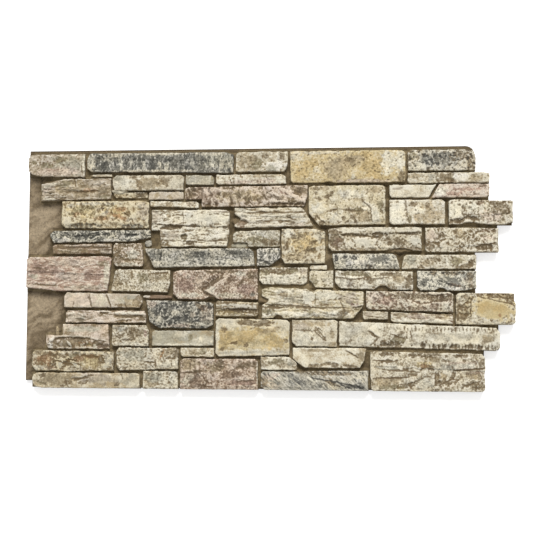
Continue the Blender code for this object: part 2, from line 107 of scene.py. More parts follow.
# %% Paints
PAINTS = {
    "chalk": "#eee8da",
    "ivory": "#e3dcc6",
    "cream": "#d5ccb4",
    "shell": "#d2c1ad",
    "buff": "#bdb09b",
    "grey_buff": "#aea893",
    "tan": "#ad9c7c",
    "olive": "#8d8263",
    "straw": "#d4c8a8",
    "gold": "#cdba8c",
    "ochre": "#c2aa78",
    "rust": "#a5815a",
    "rose": "#a98d7b",
    "clay": "#88725c",
    "umber": "#7f6e52",
    "sepia": "#564630",
    "pale_slate": "#b4ae9d",
    "slate": "#7d7a6f",
    "dark_slate": "#55534a",
    "mortar": "#7a6a52",
    "mortar_light": "#a6957b",
    "joint": "#6a5b40",
    "joint_light": "#8f7f60",
}


def linear(colour):
    """The linear red, green and blue of an sRGB hex value."""
    channels = [int(colour[at:at + 2], 16) / 255 for at in (1, 3, 5)]
    return [c / 12.92 if c <= 0.04045 else ((c + 0.055) / 1.055) ** 2.4 for c in channels]


PAINT = {name: np.array(linear(value)) for name, value in PAINTS.items()}
print(len(PAINT), "paints")

# %% [markdown]
# ## The light
# A panel photographed in a studio lies on white and is lit by a large softbox beyond its top edge, so
# each stone throws a soft shadow into the joint below it. One sun with a wide disc gives that light
# at the same level all over the panel, and a pale world fills the shadows. Together they light a
# face that looks up at about the level at which a colour renders as it is written.

# %% Light
SUN_LEAN = math.radians(47)
SUN_TURN = math.radians(-8)
SOFTBOX_WIDTH = math.radians(24)
WARM_WHITE = (1.0, 0.985, 0.96)
SUN_SHARE = 0.62
SKY_SHARE = 0.46

sun_data = bpy.data.lights.new("softbox", "SUN")
sun_data.energy = SUN_SHARE * math.pi / math.cos(SUN_LEAN)
sun_data.angle = SOFTBOX_WIDTH
sun_data.color = WARM_WHITE
sun = bpy.data.objects.new("softbox", sun_data)
sun.rotation_euler = (-SUN_LEAN, 0, SUN_TURN)
bpy.context.scene.collection.objects.link(sun)

world = bpy.data.worlds.new("studio")
world.use_nodes = True
studio = world.node_tree
studio.nodes["Background"].inputs["Color"].default_value = (1, 1, 1, 1)
studio.nodes["Background"].inputs["Strength"].default_value = SKY_SHARE
bpy.context.scene.world = world
print("a face that looks up gets", SUN_SHARE + SKY_SHARE, "of full light")

# %% [markdown]
# Materials are nodes with links between them. Two helpers keep the cells below short: one adds a
# shader node with its settings and links, and one makes a material that has only an output.

# %% Node helpers


def node(tree, kind, settings=(), **links):
    """Add a shader node. settings are its properties, and links its sockets: values or sockets."""
    made = tree.nodes.new("ShaderNode" + kind)
    for name, value in dict(settings).items():
        setattr(made, name, value)
    for name, value in links.items():
        socket = made.inputs[int(name[1:]) if name[1:].isdigit() else name.replace("_", " ")]
        if isinstance(value, bpy.types.NodeSocket):
            tree.links.new(value, socket)
        else:
            socket.default_value = value
    return made


def empty_material(name):
    """A material with only an output."""
    material = bpy.data.materials.new(name)
    material.use_nodes = True
    material.node_tree.nodes.clear()
    output = material.node_tree.nodes.new("ShaderNodeOutputMaterial")
    return material, material.node_tree, output


# %% [markdown]
# ## The floor
# The white of the photograph's ground is pure white, yet a floor that bright would throw too much
# light up at the panel. So the camera alone sees white, by the Light Path node, and the floor's own
# paint is mixed in where the panel's shadow falls. The panel has no metal or glass, so nothing on it
# has to mirror that white.

# %% Floor
PAPER = (0.9, 0.9, 0.9, 1)
WHITE = (1, 1, 1, 1)
GLOW = 0.58
FLOOR_SIDE = 12
FLOOR_DROP = 0.5 * MM

floor_material, tree, output = empty_material("matt_white_paper")
paper = node(tree, "BsdfDiffuse", Color=PAPER, Roughness=1.0)
white = node(tree, "Emission", Color=WHITE, Strength=GLOW)
seen = node(tree, "LightPath").outputs["Is Camera Ray"]
both = node(tree, "AddShader", i0=paper.outputs[0], i1=white.outputs[0])
shown = node(tree, "MixShader", i0=seen, i1=paper.outputs[0], i2=both.outputs[0])
tree.links.new(shown.outputs[0], output.inputs["Surface"])

bpy.ops.mesh.primitive_plane_add(size=FLOOR_SIDE, location=(0, 0, -FLOOR_DROP))
floor = bpy.context.object
floor.name = "floor"
floor.data.materials.append(floor_material)
print("floor", FLOOR_SIDE, "m wide")

# %% [markdown]
# The wall beyond the floor is white to the camera in the same way: the world shows a white of full
# strength to camera rays, and keeps its softer light for everything else.

# %% White wall
white_wall = node(studio, "Background", Color=WHITE, Strength=1.0)
seen = node(studio, "LightPath").outputs["Is Camera Ray"]
shown = node(studio, "MixShader", i0=seen,
             i1=studio.nodes["Background"].outputs[0], i2=white_wall.outputs[0])
studio.links.new(shown.outputs[0], studio.nodes["World Output"].inputs["Surface"])
print("world light", SKY_SHARE, "and white to the camera")

# %% [markdown]
# ## The painted foam
# The moulding is closed-cell polyurethane foam with a dense skin, finished in matt acrylic. The paint
# goes on in coats, and the nodes follow them. One function lays one coat, takes the colour under it
# and gives the colour on top, so that the coats can be followed and tuned one by one.
# The first is the sponge. The coat's colour comes from the mesh, and blots a few millimetres wide
# make it lighter and darker. Spread says how strongly: rough stones take much, smooth flagstones less.

# %% Sponged coat
SPONGE_DARKER = 0.36
SPONGE_LIGHTER = 0.26


def sponged_coat(tree, place, sponge_mm, spread):
    """The mesh's own coat under the sponge's blots, and the blots themselves."""
    coat = node(tree, "Attribute", {"attribute_name": "coat"}).outputs["Color"]
    blots = node(tree, "TexNoise", Vector=place, Scale=1 / (sponge_mm * MM), Detail=5.0,
                 Roughness=0.68, Distortion=0.5).outputs["Fac"]
    level = node(tree, "MapRange", Value=blots, From_Min=0.32, From_Max=0.68,
                 To_Min=1 - SPONGE_DARKER * spread, To_Max=1 + SPONGE_LIGHTER * spread).outputs["Result"]
    sponged = node(tree, "VectorMath", {"operation": "SCALE"}, i0=coat, Scale=level)
    return sponged.outputs[0], blots


# %% [markdown]
# A thin brown wash runs into the hollows, and a dry brush leaves pale paint on the high spots. The
# wash's mask also holds painted shade: near the stones, down their sides, at the edge of each face and
# along the dark lines under ledges. Both are the same job for nodes: a mask on the mesh knows where the
# stone is hollow, shaded or proud, noise as fine as the brush's bristles breaks the mask's edge, and
# the paint is mixed in over it.

# %% Wash and dry brush
WASH_AND_SHADE_GRAIN = {"grain_mm": 2.6, "detail": 3.0, "bristle": 0.5, "ragged": 0.7, "low": 0.12, "high": 0.85}
DRY_BRUSH = {"grain_mm": 3.4, "detail": 4.0, "bristle": 0.7, "ragged": 0.9, "low": 0.25, "high": 0.95}
WASH_AND_SHADE_AMOUNT = 0.7


def broken_coat(tree, place, under, mask_name, paint_hex, amount, grain_mm, detail, bristle, ragged,
                low, high):
    """Thin paint over the colour under it, where a mask of the mesh and noise let it hold."""
    mask = node(tree, "Attribute", {"attribute_name": mask_name}).outputs["Fac"]
    grain = node(tree, "TexNoise", Vector=place, Scale=1 / (grain_mm * MM), Detail=detail,
                 Roughness=bristle).outputs["Fac"]
    push = node(tree, "Math", {"operation": "MULTIPLY_ADD"}, i0=grain, i1=ragged,
                i2=-ragged / 2).outputs[0]
    held = node(tree, "Math", {"operation": "ADD"}, i0=mask, i1=push).outputs[0]
    share = node(tree, "MapRange", {"interpolation_type": "SMOOTHSTEP"}, Value=held,
                 From_Min=low, From_Max=high, To_Min=0.0, To_Max=amount).outputs["Result"]
    mixed = node(tree, "Mix", {"data_type": "RGBA"}, i0=share, i6=under,
                 i7=(*linear(paint_hex), 1))
    return mixed.outputs["Result"]


# %% [markdown]
# The foam's skin has pores. They are drawn three or four millimetres apart, where real ones are
# closer, because closer ones are too fine to show, and only in the cells whose random colour says so.

# %% Pores
PORES_SHUT = 0.62
PORE_SHADE = 0.5


def pinholes(tree, place, pore_mm, spread):
    """How light the paint is: 1 between the pores, and less inside them."""
    pores = node(tree, "TexVoronoi", Vector=place, Scale=1 / (pore_mm * MM), Randomness=1.0)
    chosen = node(tree, "SeparateColor", Color=pores.outputs["Color"]).outputs["Red"]
    shut = node(tree, "Math", {"operation": "LESS_THAN"}, i0=chosen, i1=PORES_SHUT).outputs[0]
    gap = node(tree, "Math", {"operation": "ADD"}, i0=pores.outputs["Distance"],
               i1=shut).outputs[0]
    return node(tree, "MapRange", {"interpolation_type": "SMOOTHSTEP"}, Value=gap, From_Min=0.12,
                From_Max=0.42, To_Min=1 - PORE_SHADE * spread, To_Max=1.0).outputs["Result"]


# %% [markdown]
# All coats together make the finish. Acrylic has an IOR near 1.49 and dries flat, so its roughness is
# high and changes a little with the blots. The skin's grain and the pores lift and sink the surface
# by tenths of a millimetre, which is bump. Every kind of stone has its own wash, brush and blots.

# %% Painted foam
ACRYLIC_IOR = 1.49
GRAIN_MM = 1.5
GRAIN_LIFT = 0.6 * MM
GRAIN_STRENGTH = 0.55
PORE_SINK = 0.8
GLOSS_CHANGE = 0.08


def painted_foam(name, wash_and_shade_paint, brush, sponge_mm, pore_mm, spread, brush_amount, roughness):
    """Matt acrylic on moulded foam, in coats: sponge, wash with painted shade, dry brush and the skin's
    pores.
    """
    material, tree, output = empty_material(name)
    place = node(tree, "TexCoord").outputs["Object"]
    sponged, blots = sponged_coat(tree, place, sponge_mm, spread)
    # The wash coat also lays painted shade, wherever the mesh's mask asks for it.
    washed_and_shaded = broken_coat(tree, place, sponged, "wash_and_shade", wash_and_shade_paint, WASH_AND_SHADE_AMOUNT, **WASH_AND_SHADE_GRAIN)
    brushed = broken_coat(tree, place, washed_and_shaded, "proud", brush, brush_amount, **DRY_BRUSH)
    pinhole = pinholes(tree, place, pore_mm, spread)
    colour = node(tree, "VectorMath", {"operation": "SCALE"}, i0=brushed, Scale=pinhole)
    grain = node(tree, "TexNoise", Vector=place, Scale=1 / (GRAIN_MM * MM), Detail=6.0,
                 Roughness=0.7).outputs["Fac"]
    height = node(tree, "Math", {"operation": "MULTIPLY_ADD"}, i0=pinhole, i1=PORE_SINK,
                  i2=grain).outputs[0]
    bump = node(tree, "Bump", Height=height, Strength=GRAIN_STRENGTH, Distance=GRAIN_LIFT)
    matt = node(tree, "MapRange", Value=blots, From_Min=0.3, From_Max=0.7,
                To_Min=roughness - GLOSS_CHANGE, To_Max=min(roughness + GLOSS_CHANGE, 1.0))
    shader = node(tree, "BsdfPrincipled", Base_Color=colour.outputs[0],
                  Roughness=matt.outputs["Result"], IOR=ACRYLIC_IOR, Metallic=0.0,
                  Normal=bump.outputs["Normal"])
    tree.links.new(shader.outputs[0], output.inputs["Surface"])
    return material


MATERIALS = {
    "limestone": painted_foam(
        "acrylic_sponged_cream_limestone_on_moulded_foam", wash_and_shade_paint="#6f5d42", brush="#ece5d3",
        sponge_mm=3.6, pore_mm=3.6, spread=0.85, brush_amount=0.5, roughness=0.86),
    "flagstone": painted_foam(
        "acrylic_brushed_smooth_flagstone_on_moulded_foam", wash_and_shade_paint="#6f5d42", brush="#ece5d3",
        sponge_mm=4.2, pore_mm=4.4, spread=0.5, brush_amount=0.4, roughness=0.82),
    "sandstone": painted_foam(
        "acrylic_sponged_ochre_sandstone_on_moulded_foam", wash_and_shade_paint="#6d5836", brush="#e2d3ac",
        sponge_mm=3.4, pore_mm=3.4, spread=0.55, brush_amount=0.5, roughness=0.86),
    "rosestone": painted_foam(
        "acrylic_sponged_rose_stone_on_moulded_foam", wash_and_shade_paint="#66543f", brush="#e2d5c0",
        sponge_mm=3.4, pore_mm=3.6, spread=0.9, brush_amount=0.5, roughness=0.86),
    "slate": painted_foam(
        "acrylic_sponged_slate_on_moulded_foam", wash_and_shade_paint="#3a3834", brush="#d6d1c2",
        sponge_mm=3.2, pore_mm=3.2, spread=0.9, brush_amount=0.6, roughness=0.8),
    "mortar": painted_foam(
        "acrylic_base_coat_on_moulded_foam_mortar", wash_and_shade_paint="#44371f", brush="#a4947a",
        sponge_mm=5.5, pore_mm=4.0, spread=0.9, brush_amount=0.4, roughness=0.9),
}
print(len(MATERIALS), "materials")

# %% [markdown]
# ## Noise with a size
# Broken stone has no formula, but it has sizes: bedding layers, pits, cracks and grain. These small
# functions give a value between 0 and 1 that changes over a stated number of millimetres. They hash
# the corners of a grid, so the same place always gets the same value, on every run.

# %% Waves


def hashed(column, row, seed):
    """A steady random number between 0 and 1 for a cell of a grid."""
    key = (column.astype(np.int64) * 73856093) ^ (row.astype(np.int64) * 19349663) ^ (seed * 83492791)
    key = (key & 0xFFFFFFFF).astype(np.uint64)
    for _ in range(2):
        key = ((key ^ (key >> np.uint64(15))) * np.uint64(2246822519)) & np.uint64(0xFFFFFFFF)
    return (key ^ (key >> np.uint64(13))).astype(np.float64) / 4294967296.0


def smooth(share):
    """0 to 1 with a soft start and end."""
    share = np.clip(share, 0, 1)
    return share * share * (3 - 2 * share)


def waves(x, y, size, seed):
    """Smooth hills and hollows of a size: each corner of a grid has a slope in a direction of its own."""
    column = np.floor(x / size)
    row = np.floor(y / size)
    across = x / size - column
    upward = y / size - row
    total = np.zeros_like(across)
    for right in (0, 1):
        for over in (0, 1):
            way = hashed(column + right, row + over, seed) * 2 * math.pi
            slope = np.cos(way) * (across - right) + np.sin(way) * (upward - over)
            weight = smooth(across if right else 1 - across) * smooth(upward if over else 1 - upward)
            total += slope * weight
    return 0.5 + total * 0.75


square = np.meshgrid(np.arange(0.0, 200.0, 2.0), np.arange(0.0, 200.0, 2.0))
try_x, try_y = (axis.ravel() for axis in square)
print("waves of 20 mm differ by", round(float(np.ptp(waves(try_x, try_y, 20, 1))), 2))

# %% [markdown]
# Real stone is rough at many sizes at once. Waves with finer waves on top give worn, grainy rock, and
# waves folded at their middle give the sharp ridges of rock that was freshly broken.

# %% Rough and ridged


def rough(x, y, size, seed, layers=4, keep=0.5):
    """Waves of a size with finer ones on top, each layer half the size and weaker by keep."""
    total = np.zeros_like(x)
    weight = 0.0
    share = 1.0
    for layer in range(layers):
        total += share * (waves(x + 17.3 * layer, y - 9.1 * layer, size / 2 ** layer, seed + layer) - 0.5)
        weight += share * share
        share *= keep
    return 0.5 + total / math.sqrt(weight)


def ridged(x, y, size, seed, layers=3, keep=0.55):
    """Sharp ridges between round hollows, as broken rock has, from waves folded at their middle."""
    total = np.zeros_like(x)
    weight = 0.0
    share = 1.0
    for layer in range(layers):
        wave = waves(x - 7.7 * layer, y + 13.9 * layer, size / 1.9 ** layer, seed + 3 * layer)
        total += share * (1 - np.abs(2 * wave - 1) * 1.6)
        weight += share
        share *= keep
    return np.clip(total / weight, 0, 1)


print("rough differs by", round(float(np.ptp(rough(try_x, try_y, 20, 1))), 2))

# %% [markdown]
# Pits and struck planes come one by one, each with its own seed point. Cells find the nearest seed.

# %% Cells


def cells(x, y, size, seed):
    """Broken cells of a size: the distance to the nearest seed, and a number of that cell's own."""
    column = np.floor(x / size)
    row = np.floor(y / size)
    near = np.full(x.shape, 9.0)
    number = np.zeros(x.shape)
    for across in (-1, 0, 1):
        for upward in (-1, 0, 1):
            at_column = column + across
            at_row = row + upward
            seed_x = at_column + 0.1 + 0.8 * hashed(at_column, at_row, seed)
            seed_y = at_row + 0.1 + 0.8 * hashed(at_column, at_row, seed + 7)
            gap = np.hypot(x / size - seed_x, y / size - seed_y)
            closer = gap < near
            number = np.where(closer, hashed(at_column, at_row, seed + 13), number)
            near = np.where(closer, gap, near)
    return near, number


print(len(np.unique(cells(try_x, try_y, 20, 1)[1])), "cells of 20 mm in a square of 200 mm")

# %% [markdown]
# ## The stones' outlines
# The moulding already says where each stone is. A cut through it just above the mortar bed gives one
# closed loop for each of the 69 stones, so nothing has to be typed twice, and the dressed stones sit
# exactly where the moulded ones are.

# %% Outlines


def area(outline):
    """The signed area inside a loop."""
    x, y = outline.T
    return 0.5 * float(np.sum(x * np.roll(y, -1) - np.roll(x, -1) * y))


def section(level):
    """The closed loops where the moulding crosses a level, counter-clockwise, in panel millimetres."""
    cut = bmesh.new()
    cut.from_mesh(moulding.data)
    bmesh.ops.remove_doubles(cut, verts=cut.verts, dist=1e-6)
    everything = list(cut.verts) + list(cut.edges) + list(cut.faces)
    bmesh.ops.bisect_plane(cut, geom=everything, plane_co=(0, 0, level * MM), plane_no=(0, 0, 1),
                           clear_inner=True, clear_outer=True)
    loops = []
    left = set(cut.verts)
    for start in cut.verts:
        if start not in left:
            continue
        left.discard(start)
        loop = [start]
        here = start
        while True:
            onward = [edge.other_vert(here) for edge in here.link_edges]
            onward = [vertex for vertex in onward if vertex in left]
            if not onward:
                break
            here = onward[0]
            left.discard(here)
            loop.append(here)
        outline = np.array([vertex.co[:2] for vertex in loop]) / MM - CORNER[:2] / MM
        if len(outline) > 2:
            loops.append(outline if area(outline) > 0 else outline[::-1])
    cut.free()
    return loops


def corners_only(outline):
    """The loop without points that lie on a straight side."""
    kept = []
    for index, point in enumerate(outline):
        before = outline[index - 1] - point
        after = outline[(index + 1) % len(outline)] - point
        bend = abs(before[0] * after[1] - before[1] * after[0])
        if bend > 0.02 * np.hypot(*(before - after)):
            kept.append(point)
    return np.array(kept)


BED = 15.0
stone_loops = [corners_only(loop) for loop in section(BED + 0.3)]
print(len(stone_loops), "stones")

# %% [markdown]
# ## What each stone looks like
# A look says which stone it dresses, by a place inside it, then the kind of stone, the coat on its
# high parts, the ground that shows in its low parts, and how its surface broke. Pale makes the whole
# stone lighter or darker, cell is the size of its broken cells, turn is the way its streaks run, and
# worn says how often its outline is worn round.
# Marks are the features, listed one by one. Each is a dab of one paint, so each paint gets a function
# of its own name. A dab has a place, a half width and half height, how deep it is hollowed (a pad that
# stands proud is negative), and how far it is turned in degrees.
# Ledges are the broken edges of bedding layers, from one point to another with the stone above the
# line standing higher, and the last number says how much.

# %% Dabs and looks
LOOKS = {}


def dab_of(paint):
    """A function that makes marks in one paint, flat and level where nothing else is said."""
    def dab(across, up, half_width, half_height, depth=0, turn=0):
        return (paint, across, up, half_width, half_height, depth, turn)
    return dab


def look(name, at, kind, coat, ground, skin, marks=(), ledges=(), **others):
    """Keep what a stone looks like under its name."""
    LOOKS[name] = dict(at=at, kind=kind, coat=coat, ground=ground, skin=skin, marks=marks,
                       ledges=ledges, **others)


cream, ivory, shell, chalk = map(dab_of, ("cream", "ivory", "shell", "chalk"))
buff, grey_buff, gold, ochre = map(dab_of, ("buff", "grey_buff", "gold", "ochre"))
umber, sepia, tan, olive, rust = map(dab_of, ("umber", "sepia", "tan", "olive", "rust"))
rose, clay = map(dab_of, ("rose", "clay"))
slate, pale_slate, dark_slate = map(dab_of, ("slate", "pale_slate", "dark_slate"))
print("a dab:", umber(143, 566, 1.5, 12, 0.9, 8))

# %% [markdown]
# The top course has a buff corner, a long slate with cream bands, and a long gold sandstone.

# %% Looks of the top course
look("buff_corner", (75, 578), "limestone", "buff", "umber", "pitted", pale=-0.05, marks=[
    grey_buff(112, 575, 42, 26), shell(100, 560, 30, 12), rose(60, 560, 26, 6), olive(85, 590, 13, 9, 0.6),
    olive(52, 576, 14, 7, 0.5), olive(16, 583, 6, 6, 0.6), shell(60, 556, 60, 6), ivory(148, 575, 6, 25),
    umber(143, 566, 1.5, 12, 0.9, 8)])
look("long_slate", (350, 580), "slate", "slate", "dark_slate", "mottled", turn=80, marks=[
    cream(165, 578, 13, 30), cream(240, 601, 24, 6, -0.5), ivory(246, 575, 5, 17, -0.6, 10),
    pale_slate(213, 590, 12, 9), ivory(307, 568, 4, 15, -0.5), pale_slate(275, 585, 4, 12),
    ivory(349, 572, 4, 12, -0.5, 15), ivory(367, 570, 5, 13, -0.5, -10),
    pale_slate(432, 577, 7, 12, -0.4, 25), dark_slate(205, 575, 13, 9, 0.4),
    dark_slate(330, 572, 12, 15, 0.4), grey_buff(500, 585, 45, 20), ivory(486, 578, 4, 14, -0.5),
    cream(508, 570, 6, 20, -0.5, -8), cream(532, 568, 5, 20, -0.6, 28), cream(480, 601, 35, 4),
    slate(455, 580, 14, 14, 0.3), cream(350, 602, 60, 4), cream(330, 558, 90, 3)])
look("top_shim", (195, 549), "flagstone", "cream", "tan", "smooth", pale=-0.16)
look("cream_block", (610, 578), "limestone", "cream", "tan", "pitted", pale=-0.04, marks=[
    tan(580, 580, 32, 20), chalk(645, 566, 30, 13, -1.2, 12), olive(600, 572, 14, 14),
    grey_buff(636, 562, 14, 9), umber(620, 593, 9, 8, 0.8), umber(663, 593, 8, 9, 0.8),
    ivory(655, 597, 3, 10, -0.4), cream(600, 601, 14, 4)])
look("gold_long", (830, 564), "sandstone", "gold", "tan", "pitted", pale=0.06, marks=[
    ochre(735, 570, 26, 14, 0, 15), ochre(716, 548, 16, 12), cream(700, 592, 16, 12),
    ochre(895, 560, 34, 30), ochre(872, 592, 18, 10), tan(832, 578, 30, 15, 0.4),
    umber(838, 580, 12, 7, 0.5), tan(862, 586, 12, 8, 0.4), cream(752, 556, 10, 7), ivory(930, 575, 16, 28),
    ivory(958, 580, 20, 26), shell(870, 527, 70, 4), umber(967, 538, 9, 16, 0.4), tan(800, 560, 30, 25),
    ivory(845, 538, 5, 8, -0.4), cream(760, 600, 60, 4)])
look("slate_corner", (1060, 578), "slate", "cream", "umber", "crackle", pale=0.12, cell=9, marks=[
    slate(1058, 580, 46, 19, 0.3), slate(1028, 578, 12, 9, 0.5), slate(1076, 588, 20, 10, 0.4),
    umber(1120, 590, 26, 13, 0.5), umber(1140, 565, 10, 12, 0.4), olive(994, 590, 9, 10, 0.3),
    ivory(1010, 562, 26, 9, -0.4), umber(1097, 577, 5, 4, 1.2)])
print(len(LOOKS), "looks")

# %% [markdown]
# The second course is thin and varied. Its large cream stone is cracked and struck off in planes,
# and a pale band runs across the long rose stone beside it.

# %% Looks of the second course
look("umber_ledge", (130, 512), "flagstone", "buff", "umber", "cleft", marks=[
    tan(150, 512, 75, 20), umber(66, 500, 13, 4, 0.6), olive(108, 526, 22, 8, 0, 10),
    cream(62, 523, 22, 5, -0.8, 18), shell(55, 513, 15, 6, 0, 25), cream(62, 487, 18, 4, -0.8, -5),
    # The tan mark at 130, 530 is painted shadow at the right of the raised flap.
    tan(130, 530, 14, 9, 1.2, -25), umber(155, 506, 26, 4, 0.7), rust(170, 510, 22, 4),
    buff(175, 528, 26, 8), olive(205, 492, 16, 6)], ledges=[(126, 538, 131, 520, 2.2),
    (100, 507, 185, 510, 1.0)])
look("cream_upper", (318, 528), "flagstone", "cream", "umber", "smooth", pale=-0.06, marks=[
    tan(318, 526, 36, 16, 1.0), umber(297, 524, 9, 12, 0.6), umber(364, 531, 18, 12, 0.8, 20),
    ivory(255, 525, 26, 18, -0.5), grey_buff(240, 541, 14, 6), umber(280, 541, 9, 4, 0.5),
    cream(392, 530, 18, 16)], ledges=[(262, 509, 400, 508, 1.4)])
look("small_block", (366, 494), "limestone", "buff", "tan", "smooth", pale=0.14, marks=[
    tan(341, 495, 7, 6, 0.4), tan(372, 491, 9, 5, 0.4)])
look("low_shelf", (272, 497), "limestone", "straw", "umber", "cleft", pale=-0.05, marks=[
    umber(298, 497, 24, 8, 0.8)])
look("grey_small", (453, 533), "limestone", "grey_buff", "umber", "smooth", marks=[
    pale_slate(440, 533, 18, 9), cream(468, 530, 13, 10), olive(486, 537, 5, 7, 0.4),
    cream(455, 524, 34, 3)])
look("pinkish_cream", (585, 533), "limestone", "ivory", "tan", "pitted", marks=[
    sepia(532, 530, 1.6, 5, 1.2, 15), sepia(540, 528, 1.6, 5, 1.2, 15), rose(570, 527, 18, 4, 0.3),
    clay(604, 529, 7, 5, 0.5), shell(560, 526, 50, 6), shell(625, 530, 24, 6), tan(620, 542, 40, 4)])
look("buff_tab", (1080, 534), "limestone", "cream", "tan", "pitted", marks=[
    umber(1075, 534, 24, 14, 0.6), umber(1083, 528, 15, 9, 0.4), chalk(1114, 535, 16, 12, -1.1),
    tan(1150, 532, 17, 9, 0.3), tan(1002, 538, 18, 7, 0.4), sepia(1093, 524, 5, 3, 1.0),
    pale_slate(1040, 535, 11, 10)])
look("rose_long", (560, 490), "rosestone", "shell", "umber", "crackle", cell=15, pale=0.14, marks=[
    clay(458, 492, 44, 24, 0.8), shell(472, 503, 12, 7), tan(560, 492, 55, 14), umber(520, 495, 16, 8, 0.4),
    umber(600, 485, 20, 8, 0.4), rose(670, 502, 16, 5, -0.4, -22), shell(693, 492, 44, 4.5, -1.8, -29),
    umber(712, 508, 26, 9, 1.2, -10), umber(678, 470, 45, 6, 1.6), shell(490, 508, 14, 5, -0.6),
    umber(430, 500, 14, 13, 0.6), sepia(650, 486, 20, 4, 0.8, -25)], ledges=[(640, 475, 728, 470, 1.6)])
look("thin_cream", (388, 472), "limestone", "ivory", "tan", "pitted", pale=-0.1, marks=[
    tan(372, 471, 12, 6, 0.5), buff(430, 473, 14, 5, 0.3)])
look("cream_large", (830, 466), "flagstone", "straw", "umber", "facet", marks=[
    umber(777, 487, 7, 5, 1.3, 10), umber(760, 481, 5, 7, 1.0), umber(790, 495, 4, 7, 0.9),
    # The thin umber marks at 845, 452 and 790, 453 are painted shadow under the step, in a shallow groove.
    umber(845, 452, 26, 3, 1.0), umber(790, 453, 12, 3, 1.0, 10), tan(866, 440, 24, 16, 1.2, -25),
    olive(858, 452, 12, 10, 1.0), umber(846, 430, 5, 13, 1.5, 25), sepia(831, 424, 4, 4, 1.6),
    umber(820, 433, 5, 7, 1.2), umber(806, 422, 9, 4, 1.0, 20), umber(746, 430, 10, 6, 1.2, 30),
    umber(766, 421, 7, 6, 1.0), ivory(800, 434, 18, 12, -0.8, 30), ivory(757, 458, 18, 12, -0.5),
    olive(916, 462, 9, 15, 0.6, 10), ivory(902, 440, 8, 22, 0, 8), tan(858, 483, 18, 5, 0.9, -12),
    tan(900, 505, 25, 8), tan(765, 510, 28, 6, 0.4), ivory(840, 495, 35, 10, -0.4),
    ivory(880, 462, 12, 12, -0.6), cream(860, 420, 40, 3)], ledges=[(868, 482, 889, 458, 2.0),
    (889, 458, 893, 425, 2.6), (795, 456, 838, 457, 1.2), (752, 440, 772, 424, 1.4)])
look("pale_thin", (985, 500), "flagstone", "ivory", "tan", "smooth", marks=[
    buff(955, 506, 12, 3, 0.3), cream(1000, 492, 30, 5)])
look("rose_thin_tab", (1120, 500), "rosestone", "shell", "clay", "pitted", pale=0.16, marks=[
    rose(1125, 504, 34, 4, 0.3), rose(1095, 493, 26, 5, 0.3), ivory(1062, 498, 14, 12),
    clay(1168, 512, 12, 4, 0.6)])
print(len(LOOKS), "looks")

# %% [markdown]
# The third course holds the rough gold stone at the left and the deeply cleft cream one next to it.

# %% Looks of the third course
look("gold_rough", (210, 445), "sandstone", "straw", "tan", "crackle", cell=11, pale=0.02, marks=[
    gold(150, 458, 45, 18), ochre(232, 452, 30, 12, 0.4), umber(190, 456, 6, 5, 1.6),
    olive(215, 470, 16, 5, 0.8), cream(118, 468, 12, 6), cream(205, 448, 14, 5, -0.4, 20),
    rust(130, 450, 12, 8, 0.3), cream(270, 432, 16, 7, -0.4), umber(266, 446, 7, 7, 1.4),
    olive(143, 460, 14, 6, 0.6), slate(150, 417, 38, 7, 0.8), olive(150, 462, 30, 7, 0.4, 10),
    rust(240, 440, 30, 6, 0.8, -20), cream(300, 470, 16, 6, -0.4), slate(285, 415, 34, 5, 0.8),
    cream(108, 424, 11, 12, -1.8), rust(205, 436, 24, 6, 0.6), buff(308, 455, 14, 22),
    rust(250, 458, 16, 6, 0.5), ivory(180, 474, 60, 4, -0.3), olive(120, 448, 10, 4, 0.6),
    sepia(200, 462, 4, 3, 1.0)])
look("cream_cleft", (440, 415), "limestone", "ivory", "umber", "cleft", marks=[
    buff(342, 438, 14, 14, 0.4), umber(380, 411, 22, 6, 2.4, 3), olive(414, 386, 8, 9, 3.0),
    umber(437, 414, 16, 3, 1.2), umber(430, 371, 10, 5, 1.4), umber(352, 385, 12, 18, 1.8),
    buff(380, 392, 25, 10, 0.4), tan(372, 442, 5, 6, 0.6), umber(518, 412, 5, 4, 0.6),
    buff(505, 452, 24, 3, 0.4), sepia(496, 372, 3, 7, 0.8, 20), ivory(470, 432, 50, 14, -1.1)],
    ledges=[(344, 421, 412, 417, 3.0), (412, 417, 448, 421, 1.8), (404, 392, 424, 392, 2.2),
    (420, 376, 456, 379, 1.6), (412, 452, 414, 420, 1.4), (456, 379, 530, 382, 0.8)])
look("cream_leaf", (640, 436), "limestone", "cream", "umber", "cleft", pale=0.06, marks=[
    ivory(562, 454, 16, 6, -0.8), clay(560, 418, 14, 10, 2.4, 20), umber(660, 425, 5, 4, 0.8),
    umber(681, 438, 6, 5, 1.0), tan(660, 449, 60, 2.5, 1.0), ivory(560, 440, 14, 5, -0.6, -15),
    buff(700, 417, 26, 5, 0.4)], ledges=[(578, 449, 722, 450, 1.8), (545, 436, 580, 424, 2.2),
    (600, 428, 700, 431, 0.9)])
look("cream_speck_small", (1004, 448), "limestone", "cream", "tan", "pitted", pale=0.2, marks=[
    ivory(955, 446, 21, 30, -1.1), tan(1030, 440, 36, 26, 0.2), umber(994, 467, 9, 6, 1.0),
    olive(986, 430, 5, 12, 0.6, 12), umber(1030, 466, 5, 8, 0.5), ivory(1005, 450, 20, 8, -0.4)],
    ledges=[(977, 474, 985, 418, 1.2)])
